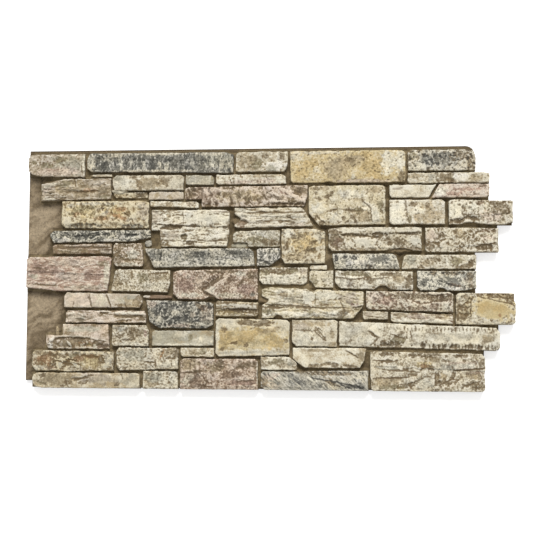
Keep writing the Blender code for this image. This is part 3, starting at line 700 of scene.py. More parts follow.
look("speckled_tab_upper", (1160, 447), "limestone", "cream", "umber", "crackle", pale=0.14, cell=10,
    marks=[
    ivory(1100, 452, 16, 20, -1.2), umber(1102, 423, 20, 5, 2.0), umber(1140, 431, 22, 5, 1.8, -5),
    ivory(1135, 458, 18, 14, -0.8), clay(1160, 470, 10, 6, 0.5), umber(1212, 452, 24, 20, 0.6),
    umber(1195, 470, 16, 7, 0.8), shell(1185, 435, 22, 12)], ledges=[(1084, 428, 1116, 431, 2.0),
    (1117, 440, 1158, 441, 2.2), (1117, 456, 1116, 440, 1.4)])
look("grey_buff", (600, 383), "limestone", "grey_buff", "umber", "speckled", pale=0.05, worn=8, marks=[
    cream(570, 392, 24, 9), olive(600, 380, 26, 8, 0.4), umber(640, 374, 20, 9, 0.4),
    pale_slate(630, 398, 20, 5), umber(560, 390, 8, 3, 0.6), cream(580, 402, 30, 3)])
look("gold_square", (720, 362), "sandstone", "cream", "tan", "crackle", pale=0.05, cell=11, marks=[
    ochre(722, 372, 34, 26, 0.3), tan(708, 385, 16, 9, 0.5), umber(676, 363, 7, 11, 1.0),
    tan(705, 338, 30, 12, 0.2), ivory(715, 321, 45, 4, -0.6), ivory(676, 395, 14, 10),
    cream(760, 388, 12, 14), umber(745, 372, 10, 6, 0.6, 30), umber(735, 355, 16, 7, 0.4),
    ivory(680, 348, 10, 3, -0.5)])
look("middle_shim", (756, 309), "flagstone", "ivory", "tan", "smooth", pale=-0.2)
look("mottled_long", (900, 380), "flagstone", "cream", "umber", "pitted", pale=-0.08, marks=[
    umber(800, 380, 19, 26, 1.6), clay(806, 372, 12, 12, 0.6), ivory(840, 402, 24, 6, -1.8),
    ivory(872, 370, 40, 13, -2.4, 4), umber(872, 388, 34, 3, 1.6, -4), umber(908, 389, 18, 9, 2.2, 8),
    umber(935, 373, 7, 12, 1.2, 20), tan(850, 389, 26, 4, 1.8), cream(925, 402, 36, 5, -1.2),
    cream(985, 402, 26, 6, -1.2), ivory(1000, 374, 15, 11, -1.2), umber(985, 354, 32, 6, 1.6),
    umber(958, 372, 20, 10, 0.8), umber(972, 392, 20, 3, 1.4), tan(880, 353, 60, 4, 1.0),
    cream(925, 358, 34, 4, -0.6, 8)], ledges=[(814, 394, 860, 395, 2.4), (935, 396, 1012, 398, 1.4),
    (822, 378, 824, 358, 1.2)])
look("speckled_tab_lower", (1110, 378), "limestone", "cream", "umber", "crackle", cell=8.5, marks=[
    shell(1040, 388, 15, 13, -1.0), umber(1062, 388, 9, 9, 0.9, -30), umber(1037, 359, 13, 9, 1.0),
    tan(1110, 392, 16, 12, 0.4), umber(1170, 360, 22, 7, 1.8), clay(1178, 401, 20, 6, 0.8),
    shell(1178, 382, 16, 8, -0.4), cream(1075, 356, 16, 6, -0.4)], ledges=[(1150, 367, 1200, 369, 2.0),
    (1028, 371, 1056, 372, 1.2)])
print(len(LOOKS), "looks")

# %% [markdown]
# Black and white slates run through the middle of the panel, between thin brown bedding layers.

# %% Looks of the middle slates
look("black_white_slate", (200, 390), "slate", "ivory", "dark_slate", "mottled", turn=10, pale=-0.25,
    marks=[
    slate(105, 397, 24, 5, 0.5), dark_slate(172, 394, 34, 5, 1.0, 3), dark_slate(145, 386, 26, 5, 0.8),
    chalk(96, 380, 16, 6, -0.8), dark_slate(275, 393, 15, 6, 1.0), chalk(252, 391, 14, 9, -0.8),
    chalk(225, 378, 26, 4, -0.6), chalk(299, 393, 3, 9, -0.6), slate(245, 397, 5, 9, 0.4),
    slate(190, 381, 16, 4, 0.4), pale_slate(300, 402, 20, 3), pale_slate(130, 401, 24, 3),
    cream(165, 378, 12, 3, -0.4)])
look("pebble", (319, 371), "slate", "pale_slate", "slate", "smooth", pale=-0.05, marks=[
    dark_slate(313, 367, 4, 4, 0.8)])
look("rose_brown_thin", (150, 357), "rosestone", "clay", "umber", "cleft", pale=-0.14, marks=[
    buff(212, 350, 14, 7, -0.6), shell(140, 366, 44, 2, -0.6), umber(150, 361, 50, 1.6, 0.8),
    shell(190, 356, 30, 1.8, -0.6, 3), umber(130, 348, 30, 1.6, 0.6), tan(120, 352, 34, 6),
    shell(200, 366, 14, 2.5, -0.6)], ledges=[(150, 364, 222, 362, 1.2), (196, 356, 224, 356, 1.0),
    (90, 359, 120, 361, 0.8)])
look("umber_square", (270, 341), "limestone", "shell", "umber", "speckled", pale=-0.2, marks=[
    umber(244, 332, 12, 16, 0.9), umber(240, 345, 10, 10, 0.4), umber(256, 366, 22, 6, 0.9),
    ivory(282, 342, 16, 14, -0.5), umber(282, 329, 22, 3.5, 0.9), ivory(270, 317, 34, 5, -0.8)])
look("slate_long", (450, 334), "slate", "pale_slate", "dark_slate", "speckled", marks=[
    slate(340, 343, 16, 12, 0.5), dark_slate(355, 343, 2, 12, 1.4, -10), slate(455, 340, 30, 12, 0.5),
    dark_slate(450, 343, 18, 6, 0.5), slate(560, 344, 36, 10, 0.6, -6),
    dark_slate(545, 347, 24, 5, 0.5, -8), ivory(550, 322, 40, 5, -0.5, -4), cream(440, 354, 60, 3),
    chalk(420, 320, 12, 4, -0.5), cream(345, 318, 14, 6), ivory(480, 313, 80, 3, -0.3),
    chalk(535, 333, 22, 2, -0.6, -8), umber(320, 330, 8, 10, 0.6)])
look("slate_end", (628, 335), "slate", "chalk", "slate", "crackle", pale=-0.24, cell=9, marks=[
    slate(613, 341, 8, 9, 0.6), ivory(645, 350, 12, 5, -0.4), grey_buff(625, 317, 14, 5, 0.8)],
    ledges=[(603, 328, 640, 325, 1.6)])
look("slate_light", (876, 324), "slate", "ivory", "slate", "speckled", pale=-0.2, marks=[
    dark_slate(802, 331, 6, 6, 1.0), dark_slate(847, 332, 6, 5, 0.8), dark_slate(825, 335, 5, 4, 0.7),
    slate(913, 330, 24, 8, -1.1, 8), ivory(948, 322, 10, 12, -0.8), cream(932, 314, 22, 8, -0.5, 20),
    cream(880, 341, 50, 3), umber(885, 311, 8, 4, 0.6), chalk(835, 322, 8, 8, -0.4),
    grey_buff(800, 312, 10, 8, 0.3), chalk(870, 320, 20, 6, -0.3)])
look("buff_end", (1056, 322), "limestone", "cream", "umber", "pitted", marks=[
    grey_buff(988, 326, 18, 10, 0.2), umber(1050, 327, 10, 7, 0.7), tan(1030, 318, 16, 8, 0.2),
    olive(1100, 322, 16, 10, 0.5), ivory(1132, 332, 12, 5, -0.6, 12), umber(1118, 310, 26, 7, 1.8, 16),
    umber(1140, 318, 8, 9, 1.2), ivory(1078, 320, 3, 12, -0.4, 15), umber(1010, 309, 8, 4, 0.7, 30)])
print(len(LOOKS), "looks")

# %% [markdown]
# Below the middle lie a broad pink flagstone, a leafed rose stone, and at the right the gold tab,
# whose face is one smooth pad with a broken brown edge round it.

# %% Looks of the lower courses
look("pink_left", (110, 292), "flagstone", "shell", "rose", "streaked", turn=3, pale=-0.16, marks=[
    rose(50, 305, 46, 18, 0.3), rose(180, 290, 34, 10, 0.3, 6), rose(75, 278, 40, 6, 0.2),
    shell(120, 322, 60, 8), shell(115, 285, 34, 9), buff(160, 258, 60, 6), tan(203, 320, 14, 7, 0.3),
    ivory(214, 290, 7, 34, -0.4), clay(135, 312, 10, 3, 0.7), cream(20, 285, 14, 6),
    umber(52, 264, 34, 2, 0.8, -3), clay(40, 306, 26, 1.8, 0.5, -6), clay(205, 267, 8, 3, 0.5)],
    ledges=[(15, 268, 80, 263, 1.2), (185, 318, 218, 314, 0.9)])
look("cream_speck", (303, 274), "limestone", "cream", "umber", "speckled", pale=-0.1, marks=[
    tan(240, 272, 12, 20, 0.3), olive(308, 280, 16, 14, 0.5), tan(345, 282, 16, 9, 0.3),
    cream(340, 262, 26, 10, -0.3), umber(350, 295, 22, 2.2, 1.0, 3)], ledges=[(334, 294, 374, 296, 1.0)])
look("rose_leaf", (470, 265), "rosestone", "shell", "clay", "speckled", pale=-0.2, marks=[
    rose(418, 268, 24, 22, 0.2), shell(458, 274, 16, 16, 0.4), umber(490, 272, 34, 4.5, 2.2, 33),
    umber(470, 244, 20, 3, 1.6, -35), clay(470, 262, 12, 9, 1.4, 20), umber(480, 240, 22, 5, 1.4, -30),
    umber(520, 298, 60, 4, 0.6), clay(500, 287, 24, 5, 0.8, 25), ivory(560, 292, 16, 5, -0.4),
    ivory(430, 238, 34, 5, -0.3), rose(572, 254, 24, 12, 0.4), clay(530, 275, 14, 8, 0.5, 30),
    ivory(485, 252, 12, 8, -0.8), cream(530, 238, 32, 6, -0.4), slate(592, 238, 8, 6, 0.6),
    umber(590, 288, 14, 9, 0.7), umber(562, 270, 14, 3, 1.0, 50), shell(425, 285, 12, 6, -0.3)],
    ledges=[(470, 250, 520, 283, -3.2), (498, 232, 470, 250, -2.6), (545, 258, 575, 276, -1.2)])
look("left_shim", (350, 234), "rosestone", "clay", "clay", "smooth", pale=-0.18, marks=[
    chalk(316, 235, 8, 4, -0.6)])
look("dark_mottled", (405, 188), "slate", "pale_slate", "dark_slate", "crackle", cell=10, pale=-0.16,
    marks=[
    slate(380, 205, 26, 12, 0.6), slate(420, 172, 30, 16, 0.4), slate(345, 200, 10, 16, 0.3),
    buff(474, 188, 16, 22, 0.2), shell(332, 216, 12, 8, -0.4), umber(456, 210, 14, 8, 1.0, -30),
    cream(458, 166, 30, 5, -0.4), shell(400, 161, 30, 4, -0.3), cream(395, 195, 10, 6, -0.6, 20),
    cream(350, 180, 10, 6, -0.5, 60), buff(440, 190, 8, 8, -0.3), dark_slate(402, 178, 14, 8, 0.6),
    clay(470, 205, 14, 8, 0.4)])
look("cream_crazed", (205, 225), "flagstone", "buff", "tan", "smooth", pale=0.12, marks=[
    sepia(128, 215, 1.2, 8, 1.2, -8), umber(171, 221, 1.5, 18, 1.4, 22), umber(221, 222, 1.7, 18, 1.8, 20),
    umber(276, 211, 30, 4, 1.0, -4), buff(130, 226, 22, 12), cream(195, 225, 20, 14),
    # The umber mark at 298, 222 is painted shade where the stone's right end curves down.
    grey_buff(265, 226, 26, 10), umber(298, 222, 13, 15, 1.4, -35), tan(275, 218, 22, 12, 0.5, -10),
    shell(150, 225, 40, 14), sepia(244, 212, 1.2, 5, 0.7, 25), sepia(254, 212, 1.2, 5, 0.7, 25),
    sepia(264, 212, 1.2, 5, 0.7, 25)], ledges=[(171, 238, 178, 206, 1.2), (215, 240, 229, 206, 1.6)])
look("cream_banded", (210, 183), "limestone", "shell", "umber", "cleft", marks=[
    umber(212, 192, 13, 3.5, 2.0), tan(272, 184, 40, 5, 0.7), ivory(270, 193, 40, 3.5, -0.8),
    umber(255, 172, 20, 3.5, 1.2, 6), buff(140, 182, 30, 9), grey_buff(150, 176, 5, 7, 0.5, -35),
    umber(308, 178, 8, 5, 0.8)], ledges=[(200, 195, 226, 194, 1.8), (235, 187, 312, 188, 1.2)])
look("brown_wedge", (670, 287), "limestone", "ivory", "umber", "pitted", pale=-0.06, marks=[
    umber(655, 301, 56, 7, 1.0), olive(620, 296, 12, 9, 0.8), olive(692, 302, 16, 7, 0.5),
    ivory(680, 278, 44, 11, -0.5), buff(720, 300, 10, 8), olive(668, 292, 20, 3, 0.6)],
    ledges=[(635, 293, 700, 291, -1.0)])
look("olive_cream", (765, 280), "flagstone", "cream", "olive", "pitted", marks=[
    olive(745, 275, 9, 12, 0.3), cream(775, 285, 16, 14)])
look("cream_cleft_right", (895, 278), "limestone", "ivory", "umber", "facet", pale=-0.12, marks=[
    olive(850, 292, 46, 7, 1.2, -4), umber(888, 276, 9, 9, 0.9), umber(935, 290, 22, 6, 0.8),
    umber(984, 274, 10, 18, 1.0), buff(838, 270, 12, 10, 0.5), ivory(925, 275, 20, 9, -0.8),
    ivory(822, 272, 20, 12, -0.6), tan(955, 280, 18, 9, 0.4), tan(918, 262, 9, 6, 0.8)],
    ledges=[(805, 285, 850, 281, 1.6), (850, 281, 885, 285, 1.4), (900, 283, 950, 284, 1.2)])
look("slate_end_right", (1075, 276), "slate", "ivory", "slate", "speckled", pale=-0.18, marks=[
    slate(1088, 275, 36, 8, -1.1, -18), umber(1045, 295, 9, 6, 1.2), umber(1090, 294, 26, 5, 0.6),
    umber(1133, 285, 12, 12, 0.7), ivory(1112, 285, 3, 14, -0.7, 30), ivory(1065, 284, 12, 3, -0.5, -35),
    clay(1100, 262, 22, 4, 0.5, -12), dark_slate(1020, 270, 7, 9, 0.4), umber(1135, 262, 8, 6, 0.8),
    chalk(1090, 255, 34, 3, -0.4), buff(1130, 273, 14, 4, 0, -20), dark_slate(1078, 268, 20, 2, 0.6, -18)])
look("cream_cleft_long", (745, 217), "limestone", "straw", "olive", "cleft", marks=[
    cream(700, 228, 60, 16), umber(640, 208, 34, 5, 1.8), olive(628, 196, 12, 9, 1.0),
    tan(668, 240, 12, 8, 0.7), ivory(680, 248, 40, 5, -0.5), tan(720, 208, 18, 7, 1.2),
    tan(740, 222, 8, 8, 0.8), ivory(735, 231, 18, 14, -1.2), ivory(780, 238, 26, 14, -1.0),
    tan(775, 213, 22, 4, 0.8), olive(750, 228, 2, 14, 0.9), buff(835, 232, 22, 14),
    tan(830, 198, 16, 10, 0.5), sepia(860, 209, 12, 2, 2.0, 6), ivory(690, 190, 70, 6, -0.8),
    ivory(790, 192, 40, 7, -0.6), rose(845, 214, 12, 4), umber(815, 190, 10, 8, 0.5),
    tan(700, 214, 30, 3, 0.9)], ledges=[(625, 216, 700, 213, 2.0), (700, 213, 760, 208, 1.8),
    (760, 208, 812, 210, 1.2), (812, 226, 826, 200, 1.2), (848, 209, 872, 214, 2.2)])
look("rose_right", (985, 225), "rosestone", "cream", "clay", "crackle", cell=9, marks=[
    umber(1000, 237, 70, 8, 1.3), umber(1070, 232, 24, 7, 1.2, 5), rose(925, 226, 26, 12, 0.2),
    shell(900, 236, 16, 12, -0.3), clay(1048, 212, 10, 9, 0.7), clay(1015, 206, 10, 6, 0.6),
    ivory(1078, 208, 14, 10, -0.6), ivory(1060, 245, 34, 3, -0.8, 4), umber(960, 203, 30, 3, 0.7),
    umber(1050, 226, 16, 3, 0.6)], ledges=[(980, 230, 1010, 217, -1.2), (1010, 217, 1090, 224, -1.0),
    (1030, 240, 1088, 243, 1.4)])
look("thin_cream_left", (900, 189), "flagstone", "cream", "umber", "smooth", pale=-0.06, marks=[
    umber(905, 184, 26, 2, 0.6, -4), umber(876, 190, 5, 5, 0.5), buff(885, 192, 10, 4, 0.2)])
look("pink_buff", (1015, 182), "limestone", "cream", "clay", "cleft", pale=-0.06, marks=[
    tan(965, 190, 26, 5, 0.3), shell(1010, 184, 24, 5, 0.2), ivory(1010, 174, 76, 4.5, -0.8, -2),
    tan(1060, 188, 26, 5, 0.3)])
look("gold_tab", (1170, 205), "sandstone", "cream", "umber", "pitted", marks=[
    umber(1112, 205, 15, 30, 1.0), umber(1125, 228, 18, 10, 0.6), umber(1180, 240, 34, 6, 1.6, -4),
    umber(1222, 232, 20, 12, 1.5, -20), ivory(1215, 226, 22, 2.5, -0.8, -38),
    ivory(1186, 203, 55, 27, -1.1, -8), gold(1188, 204, 49, 24, -2.2, -8),
    gold(1190, 203, 46, 23, -1.0, -8), ochre(1168, 210, 18, 14), ochre(1208, 206, 20, 9),
    umber(1128, 205, 8, 22, 1.2, 10), umber(1194, 241, 40, 8, 1.2, -10), umber(1226, 232, 18, 12, 1.0, -28),
    tan(1212, 240, 14, 3, -0.6, -24), umber(1112, 190, 14, 14, 0.8), rust(1206, 188, 4, 4, 0.6),
    cream(1160, 170, 56, 4, -0.4), umber(1228, 172, 8, 3, 0.5, 30), ivory(1112, 230, 8, 12, -0.4, 10)],
    ledges=[(1150, 236, 1238, 214, -2.0), (1136, 232, 1132, 190, -1.6)])
print(len(LOOKS), "looks")

# %% [markdown]
# The next course has a long cream flagstone, whose tooled edges are two rows of short scratches.
# A row of nearly equal marks is better made by a loop than written out, so one function makes it.

# %% Looks of the seventh course


def ticks(colour, first, last, height, apart, tall):
    """A row of short upright scratches along a stone's edge, as marks."""
    places = np.arange(first, last, apart)
    return [(colour, float(x), height - 2 * math.sin(x), 1.6 + math.cos(3 * x) * 0.5, tall, 0.9,
             10 * math.sin(2 * x)) for x in places]


look("bark_cream", (150, 130), "flagstone", "shell", "umber", "smooth", pale=-0.2, marks=[
    cream(150, 152, 44, 8, -0.3), umber(120, 115, 50, 12, 1.8, 3), rust(150, 112, 40, 6, 0.6),
    tan(110, 112, 30, 8, 0.4), umber(185, 113, 24, 6, 1.6, 8), cream(118, 114, 3, 9, -1.2, 35),
    buff(97, 112, 3, 7, -0.8, -25), tan(138, 110, 6, 6, -0.9, 30), gold(168, 112, 9, 4, -0.4, -10),
    sepia(95, 127, 18, 2, 1.4, 6), sepia(142, 127, 14, 2.2, 1.4, -4), chalk(70, 110, 6, 16, -0.6, -14),
    cream(186, 105, 5, 7, -0.8, 20), clay(205, 106, 18, 6, 1.0), cream(152, 106, 5, 6, -0.8)],
    ledges=[(72, 118, 92, 130, 1.8), (92, 130, 152, 131, 2.4), (152, 131, 215, 120, 2.0)])
look("umber_cream", (278, 135), "limestone", "cream", "umber", "pitted", pale=-0.15, marks=[
    pale_slate(252, 152, 18, 7), umber(288, 142, 26, 12, 0.5), umber(250, 133, 12, 6, 0.4),
    sepia(272, 124, 14, 2.5, 0.9), ivory(280, 114, 42, 5, -0.4), rose(318, 140, 4, 10)])
look("grey_flat", (412, 129), "flagstone", "grey_buff", "tan", "smooth", marks=[
    grey_buff(372, 130, 36, 14), cream(410, 140, 14, 7), olive(432, 130, 8, 8, 0.3),
    cream(465, 122, 20, 12), tan(482, 140, 9, 6, 0.2), ivory(410, 113, 70, 3)])
look("pale_low", (450, 93), "limestone", "cream", "tan", "pitted", pale=-0.15, marks=[
    olive(465, 97, 10, 6, 0.6, 40), tan(445, 92, 12, 6, 0.2)])
look("gold_large", (592, 132), "sandstone", "cream", "tan", "smooth", pale=-0.05, marks=[
    gold(592, 128, 92, 34), ochre(516, 128, 17, 30), ochre(585, 142, 46, 12, 0.2, 16),
    ochre(648, 122, 26, 16), ochre(560, 122, 30, 12), cream(530, 165, 30, 12), ivory(502, 135, 5, 44),
    umber(576, 169, 20, 7, 1.8), umber(618, 168, 24, 8, 1.8), umber(546, 118, 10, 3.5, 0.9, 12),
    umber(576, 112, 5, 6, 0.9), umber(520, 152, 7, 7, 0.7, 20), cream(620, 158, 36, 5, -0.6, -10),
    tan(640, 150, 30, 6, 0.4, 14), ivory(590, 94, 80, 6, -0.3), cream(672, 150, 12, 22),
    umber(677, 125, 6, 5, 0.6), umber(516, 102, 6, 5, 0.9)], ledges=[(560, 166, 640, 163, 1.4),
    (585, 152, 640, 170, -0.8), (520, 115, 560, 125, 0.8)])
look("cream_ledge", (550, 204), "limestone", "straw", "umber", "cleft", pale=-0.38, marks=[
    umber(555, 197, 44, 6, 1.6), ivory(555, 212, 46, 4, -1.0, -3), umber(525, 216, 10, 3, 0.8),
    olive(512, 196, 8, 9, 0.5), gold(550, 189, 44, 6, -0.2), ochre(530, 196, 20, 5),
    sepia(562, 203, 16, 2, 0.8)], ledges=[(512, 204, 555, 206, 2.4), (555, 206, 602, 202, 2.4)])
look("cream_spalled", (748, 142), "limestone", "cream", "umber", "smooth", marks=[
    tan(740, 168, 44, 6, 0.3), umber(763, 144, 18, 5, 2.0, -52), ivory(763, 148, 10, 2, -0.6, -50),
    tan(790, 142, 8, 12, 0.4), ivory(722, 130, 26, 16, -0.3), umber(742, 128, 5, 4, 0.8),
    tan(796, 116, 9, 6, 0.2), buff(712, 160, 20, 8)], ledges=[(700, 153, 745, 150, 1.0),
    (748, 152, 770, 130, 1.6)])
look("cream_long_tab", (1000, 135), "flagstone", "ivory", "umber", "smooth", pale=-0.1, marks=[
    umber(893, 142, 16, 3.5, 1.4, -38), umber(935, 114, 34, 9, 2.4), olive(955, 128, 24, 9, 1.4),
    umber(838, 126, 5, 4, 0.7), cream(850, 145, 40, 20), ivory(880, 130, 22, 9, -0.8),
    *ticks("umber", 972, 1200, 154, 9, 5), *ticks("umber", 1034, 1196, 110, 8, 7),
    umber(962, 142, 14, 4, 0.8, 30), sepia(1018, 114, 6, 10, 1.5, 20), sepia(1045, 112, 2.5, 8, 1.5, 12),
    sepia(1056, 110, 2.5, 8, 1.5, 12), sepia(1070, 112, 2.5, 8, 1.5, -16), umber(1095, 110, 11, 6, 1.6, 15),
    sepia(1086, 112, 2.5, 7, 1.4, -30), umber(1132, 112, 12, 5, 1.5), sepia(1155, 110, 8, 7, 1.6, 35),
    sepia(1175, 107, 3, 5, 1.2, 12), sepia(1190, 106, 3, 3, 1.0), umber(1026, 124, 3, 5, 1.0, -20),
    cream(1100, 135, 80, 8, -0.3), tan(1175, 132, 14, 9, 0.3), umber(978, 140, 2, 12, 0.7),
    umber(988, 140, 2, 12, 0.7, 8)], ledges=[(885, 150, 910, 133, 1.8), (910, 133, 890, 112, 2.4),
    (940, 143, 970, 133, 1.4)])
look("cream_over", (780, 82), "flagstone", "ivory", "tan", "smooth", pale=-0.15, marks=[
    umber(752, 62, 17, 5, 1.6, 8), umber(798, 63, 17, 6, 1.6, -14), umber(834, 61, 22, 4, 1.4, -6),
    umber(842, 92, 18, 2, 1.4, -30), cream(845, 100, 8, 4), tan(862, 85, 10, 14, 0.6),
    tan(775, 66, 10, 4, 1.0, 20), tan(760, 100, 30, 4, 0.3)], ledges=[(828, 103, 856, 84, 1.2)])
look("cream_small", (650, 66), "flagstone", "ivory", "umber", "smooth", pale=-0.16, marks=[
    olive(655, 72, 20, 7, 1.0, 8), grey_buff(688, 65, 7, 5, 0.3), tan(620, 80, 8, 3, 0.4)])
print(len(LOOKS), "looks")

# %% [markdown]
# The bottom course and the lip end the panel. The large stone at the right is the most broken one.

# %% Looks of the bottom course and the lip
look("gold_brown_left", (130, 70), "sandstone", "cream", "umber", "facet", pale=-0.3, marks=[
    rust(56, 74, 24, 15, 0.8), rust(150, 76, 26, 8, 0.5, 10), tan(45, 90, 20, 6), umber(88, 84, 22, 7, 1.2),
    sepia(80, 62, 9, 8, 1.8, 30), umber(112, 62, 14, 7, 1.6, 30), ivory(95, 60, 10, 9, -1.4, 30),
    ivory(135, 61, 13, 5, -1.6, -42), sepia(128, 72, 12, 2.5, 1.6, -6), gold(178, 66, 24, 15, 0.4),
    rust(178, 82, 18, 5, 0.8), umber(205, 74, 8, 9, 1.2), ivory(212, 57, 8, 6, -1.2, 20),
    cream(222, 72, 9, 16, -0.8), cream(170, 92, 60, 4, -0.6, -2), olive(132, 84, 14, 6, 0.4, 30),
    ivory(40, 52, 14, 6, -0.6), clay(70, 52, 14, 5, 0.8)], ledges=[(85, 72, 112, 66, 1.6),
    (150, 84, 205, 84, 1.4), (110, 74, 150, 60, 1.4)])
look("cream_wide", (322, 78), "limestone", "cream", "umber", "pitted", pale=-0.1, marks=[
    grey_buff(290, 85, 34, 16), umber(328, 68, 13, 2.2, 1.6, -4), tan(375, 95, 22, 7, 0.5, 20),
    umber(380, 78, 14, 3, 0.9, 5), umber(396, 88, 6, 12, 0.8), umber(345, 61, 2, 6, 1.0),
    ivory(370, 62, 16, 8, -0.8), ivory(396, 62, 9, 8, -0.8), umber(386, 60, 1.2, 5, 0.6),
    rust(360, 88, 3, 14, 0.3, -25)], ledges=[(315, 70, 342, 68, 1.8)])
look("rose_bottom", (505, 38), "rosestone", "shell", "clay", "pitted", pale=-0.22, marks=[
    tan(430, 62, 26, 16, 0.3), cream(428, 24, 16, 12, -0.6), buff(440, 35, 20, 10),
    clay(455, 20, 22, 18, 0.8, -40), shell(480, 68, 14, 8, -0.3), tan(495, 56, 20, 12, 0.3),
    umber(510, 62, 9, 14, 0.7), umber(580, 62, 30, 8, 0.9), shell(540, 60, 14, 6, -0.4),
    clay(540, 38, 30, 9, 0.4), shell(575, 32, 26, 4, -0.5, 4), shell(480, 34, 16, 5, -0.5, -30),
    rose(565, 18, 34, 8, 0.3), shell(560, 26, 40, 2, -0.6, 2), shell(570, 10, 30, 2, -0.6),
    umber(445, 45, 26, 3, 0.8, 6), ivory(605, 40, 3, 30, -0.4)], ledges=[(410, 42, 455, 46, 1.4),
    (455, 46, 475, 16, -1.2), (555, 22, 600, 27, 1.0)])
look("lip_left", (160, 20), "flagstone", "cream", "tan", "smooth", worn=30, pale=-0.3, marks=[
    tan(90, 22, 50, 16, 0.2), umber(150, 24, 18, 3, 1.4, 10), umber(158, 16, 12, 5, 1.4, 12),
    umber(48, 32, 10, 5, 1.0), olive(48, 12, 12, 4, 0.8, -15), umber(118, 14, 12, 6, 0.9, 20),
    umber(105, 6, 9, 3, 1.0), buff(200, 25, 40, 12), shell(170, 36, 24, 3, -0.4),
    umber(258, 30, 2, 9, 0.8, 20), umber(246, 12, 6, 6, 0.3), cream(280, 20, 24, 16),
    umber(172, 32, 12, 2, 1.0, 8)], ledges=[(128, 26, 168, 30, 1.6), (112, 22, 122, 4, 1.2)])
look("lip_pale", (356, 22), "limestone", "cream", "umber", "pitted", pale=-0.15, marks=[
    grey_buff(340, 30, 24, 12), umber(352, 12, 4, 3, 0.9), tan(335, 12, 14, 6, 0.2),
    ivory(390, 25, 10, 18)])
look("slate_streaked", (750, 24), "slate", "pale_slate", "slate", "streaked", turn=-38, pale=0.05, marks=[
    slate(700, 26, 26, 9, 0.2, -30), shell(640, 34, 20, 8), slate(762, 10, 8, 6, 0.4),
    dark_slate(845, 11, 26, 5, 0.9, -6), umber(780, 42, 60, 5, 0.8), cream(865, 38, 16, 14),
    umber(790, 18, 22, 8, 0.5, -30), ivory(745, 28, 12, 8, -0.5, -20), buff(640, 12, 20, 8),
    cream(815, 28, 22, 2, -0.5, -22), slate(855, 10, 20, 7, 0.5), cream(800, 8, 20, 5),
    cream(650, 30, 20, 1.3, -0.4, -38), cream(700, 20, 20, 1.3, -0.4, -38), umber(620, 20, 8, 14, 0.3),
    umber(740, 47, 60, 3, 0.6)], ledges=[(740, 34, 860, 12, 1.6)])
look("bottom_right", (1030, 50), "limestone", "cream", "umber", "facet", pale=-0.1, marks=[
    shell(1120, 66, 40, 10), clay(1142, 46, 22, 6, 0.3, 4), umber(928, 92, 14, 5, 1.4),
    umber(930, 75, 22, 4, 2.0, 4), umber(1000, 90, 14, 7, 1.4), umber(1033, 92, 20, 8, 1.2),
    tan(1046, 80, 12, 8, 0.6), umber(1075, 87, 5, 4, 1.4), umber(1075, 76, 10, 4, 1.2),
    umber(1112, 88, 20, 4, 1.0), umber(1118, 77, 5, 4, 1.0), gold(1020, 66, 16, 9, 0.3),
    umber(1036, 60, 9, 9, 1.6, 55), rust(1020, 62, 8, 5, 0.6), umber(1052, 30, 7, 16, 2.4),
    umber(1080, 24, 26, 8, 2.4, 14), umber(1092, 40, 4, 12, 2.0, -14), tan(1068, 38, 12, 8, 1.0),
    pale_slate(1080, 60, 22, 8), umber(1105, 53, 14, 2.5, 1.4, 6), umber(1145, 56, 26, 2.5, 1.0, 8),
    umber(1160, 72, 8, 14, 0.9), tan(1145, 38, 30, 8, 0.5), umber(1130, 20, 20, 5, 1.4, 24),
    umber(1152, 14, 20, 8, 0.8), tan(930, 25, 30, 8, 0.4), tan(925, 16, 24, 5, 0.4),
    umber(978, 14, 26, 7, 1.6, 12), umber(1005, 28, 12, 5, 1.4, 40), umber(945, 52, 26, 2, 0.8, -4),
    umber(998, 42, 10, 4, 0.8, 20), ivory(940, 60, 34, 5, -0.8), ivory(1020, 22, 18, 14, -0.4),
    olive(940, 10, 30, 5, 0.5), ivory(1120, 64, 34, 5, -0.3), umber(975, 55, 8, 3, 0.8, -15),
    umber(1046, 3, 10, 3, 1.0), umber(960, 34, 24, 3, 0.5, 6)], ledges=[(895, 78, 955, 76, 1.8),
    (955, 56, 1010, 50, 1.4), (1095, 55, 1165, 60, 1.6), (990, 22, 1030, 40, 1.8),
    (1045, 42, 1048, 16, -1.6), (1060, 16, 1095, 30, -1.6), (900, 34, 980, 36, 1.0),
    (1110, 14, 1165, 30, 1.4)])
print(len(LOOKS), "looks")

# %% [markdown]
# Each look finds its stone by the place it names, so a look that names the mortar by mistake stops
# the script instead of painting the wrong stone.

# %% Match looks to stones


def inside(points, outline):
    """Which points lie inside a loop, by counting the sides that a line to the right crosses."""
    within = np.zeros(len(points), bool)
    ends = np.roll(outline, -1, axis=0)
    for start, end in zip(outline, ends):
        crosses = (start[1] > points[:, 1]) != (end[1] > points[:, 1])
        rise = end[1] - start[1] if end[1] != start[1] else 1e-9
        where = start[0] + (points[:, 1] - start[1]) * (end[0] - start[0]) / rise
        within ^= crosses & (points[:, 0] < where)
    return within


stones = {}
for name, each in LOOKS.items():
    place = np.array([each["at"]], float)
    found = [loop for loop in stone_loops if inside(place, loop)[0]]
    if len(found) != 1:
        raise ValueError(f"{name} names a place in {len(found)} stones")
    stones[name] = found[0]
print(len(stones), "of", len(stone_loops), "stones have a look,",
      sum(len(each["marks"]) for each in LOOKS.values()), "marks in all")

# %% [markdown]
# ## Rough edges
# A stone that was broken with a hammer has no straight side. Each outline gets a point every two
# millimetres, its corners are worn round by averaging neighbours, and seeded noise moves the points
# inwards by up to a millimetre or so, never outwards, because the moulding sets the outer size.

# %% Rough outline
STEP = 2.0
WORN_TURNS = 1
NIBBLE = 1.5


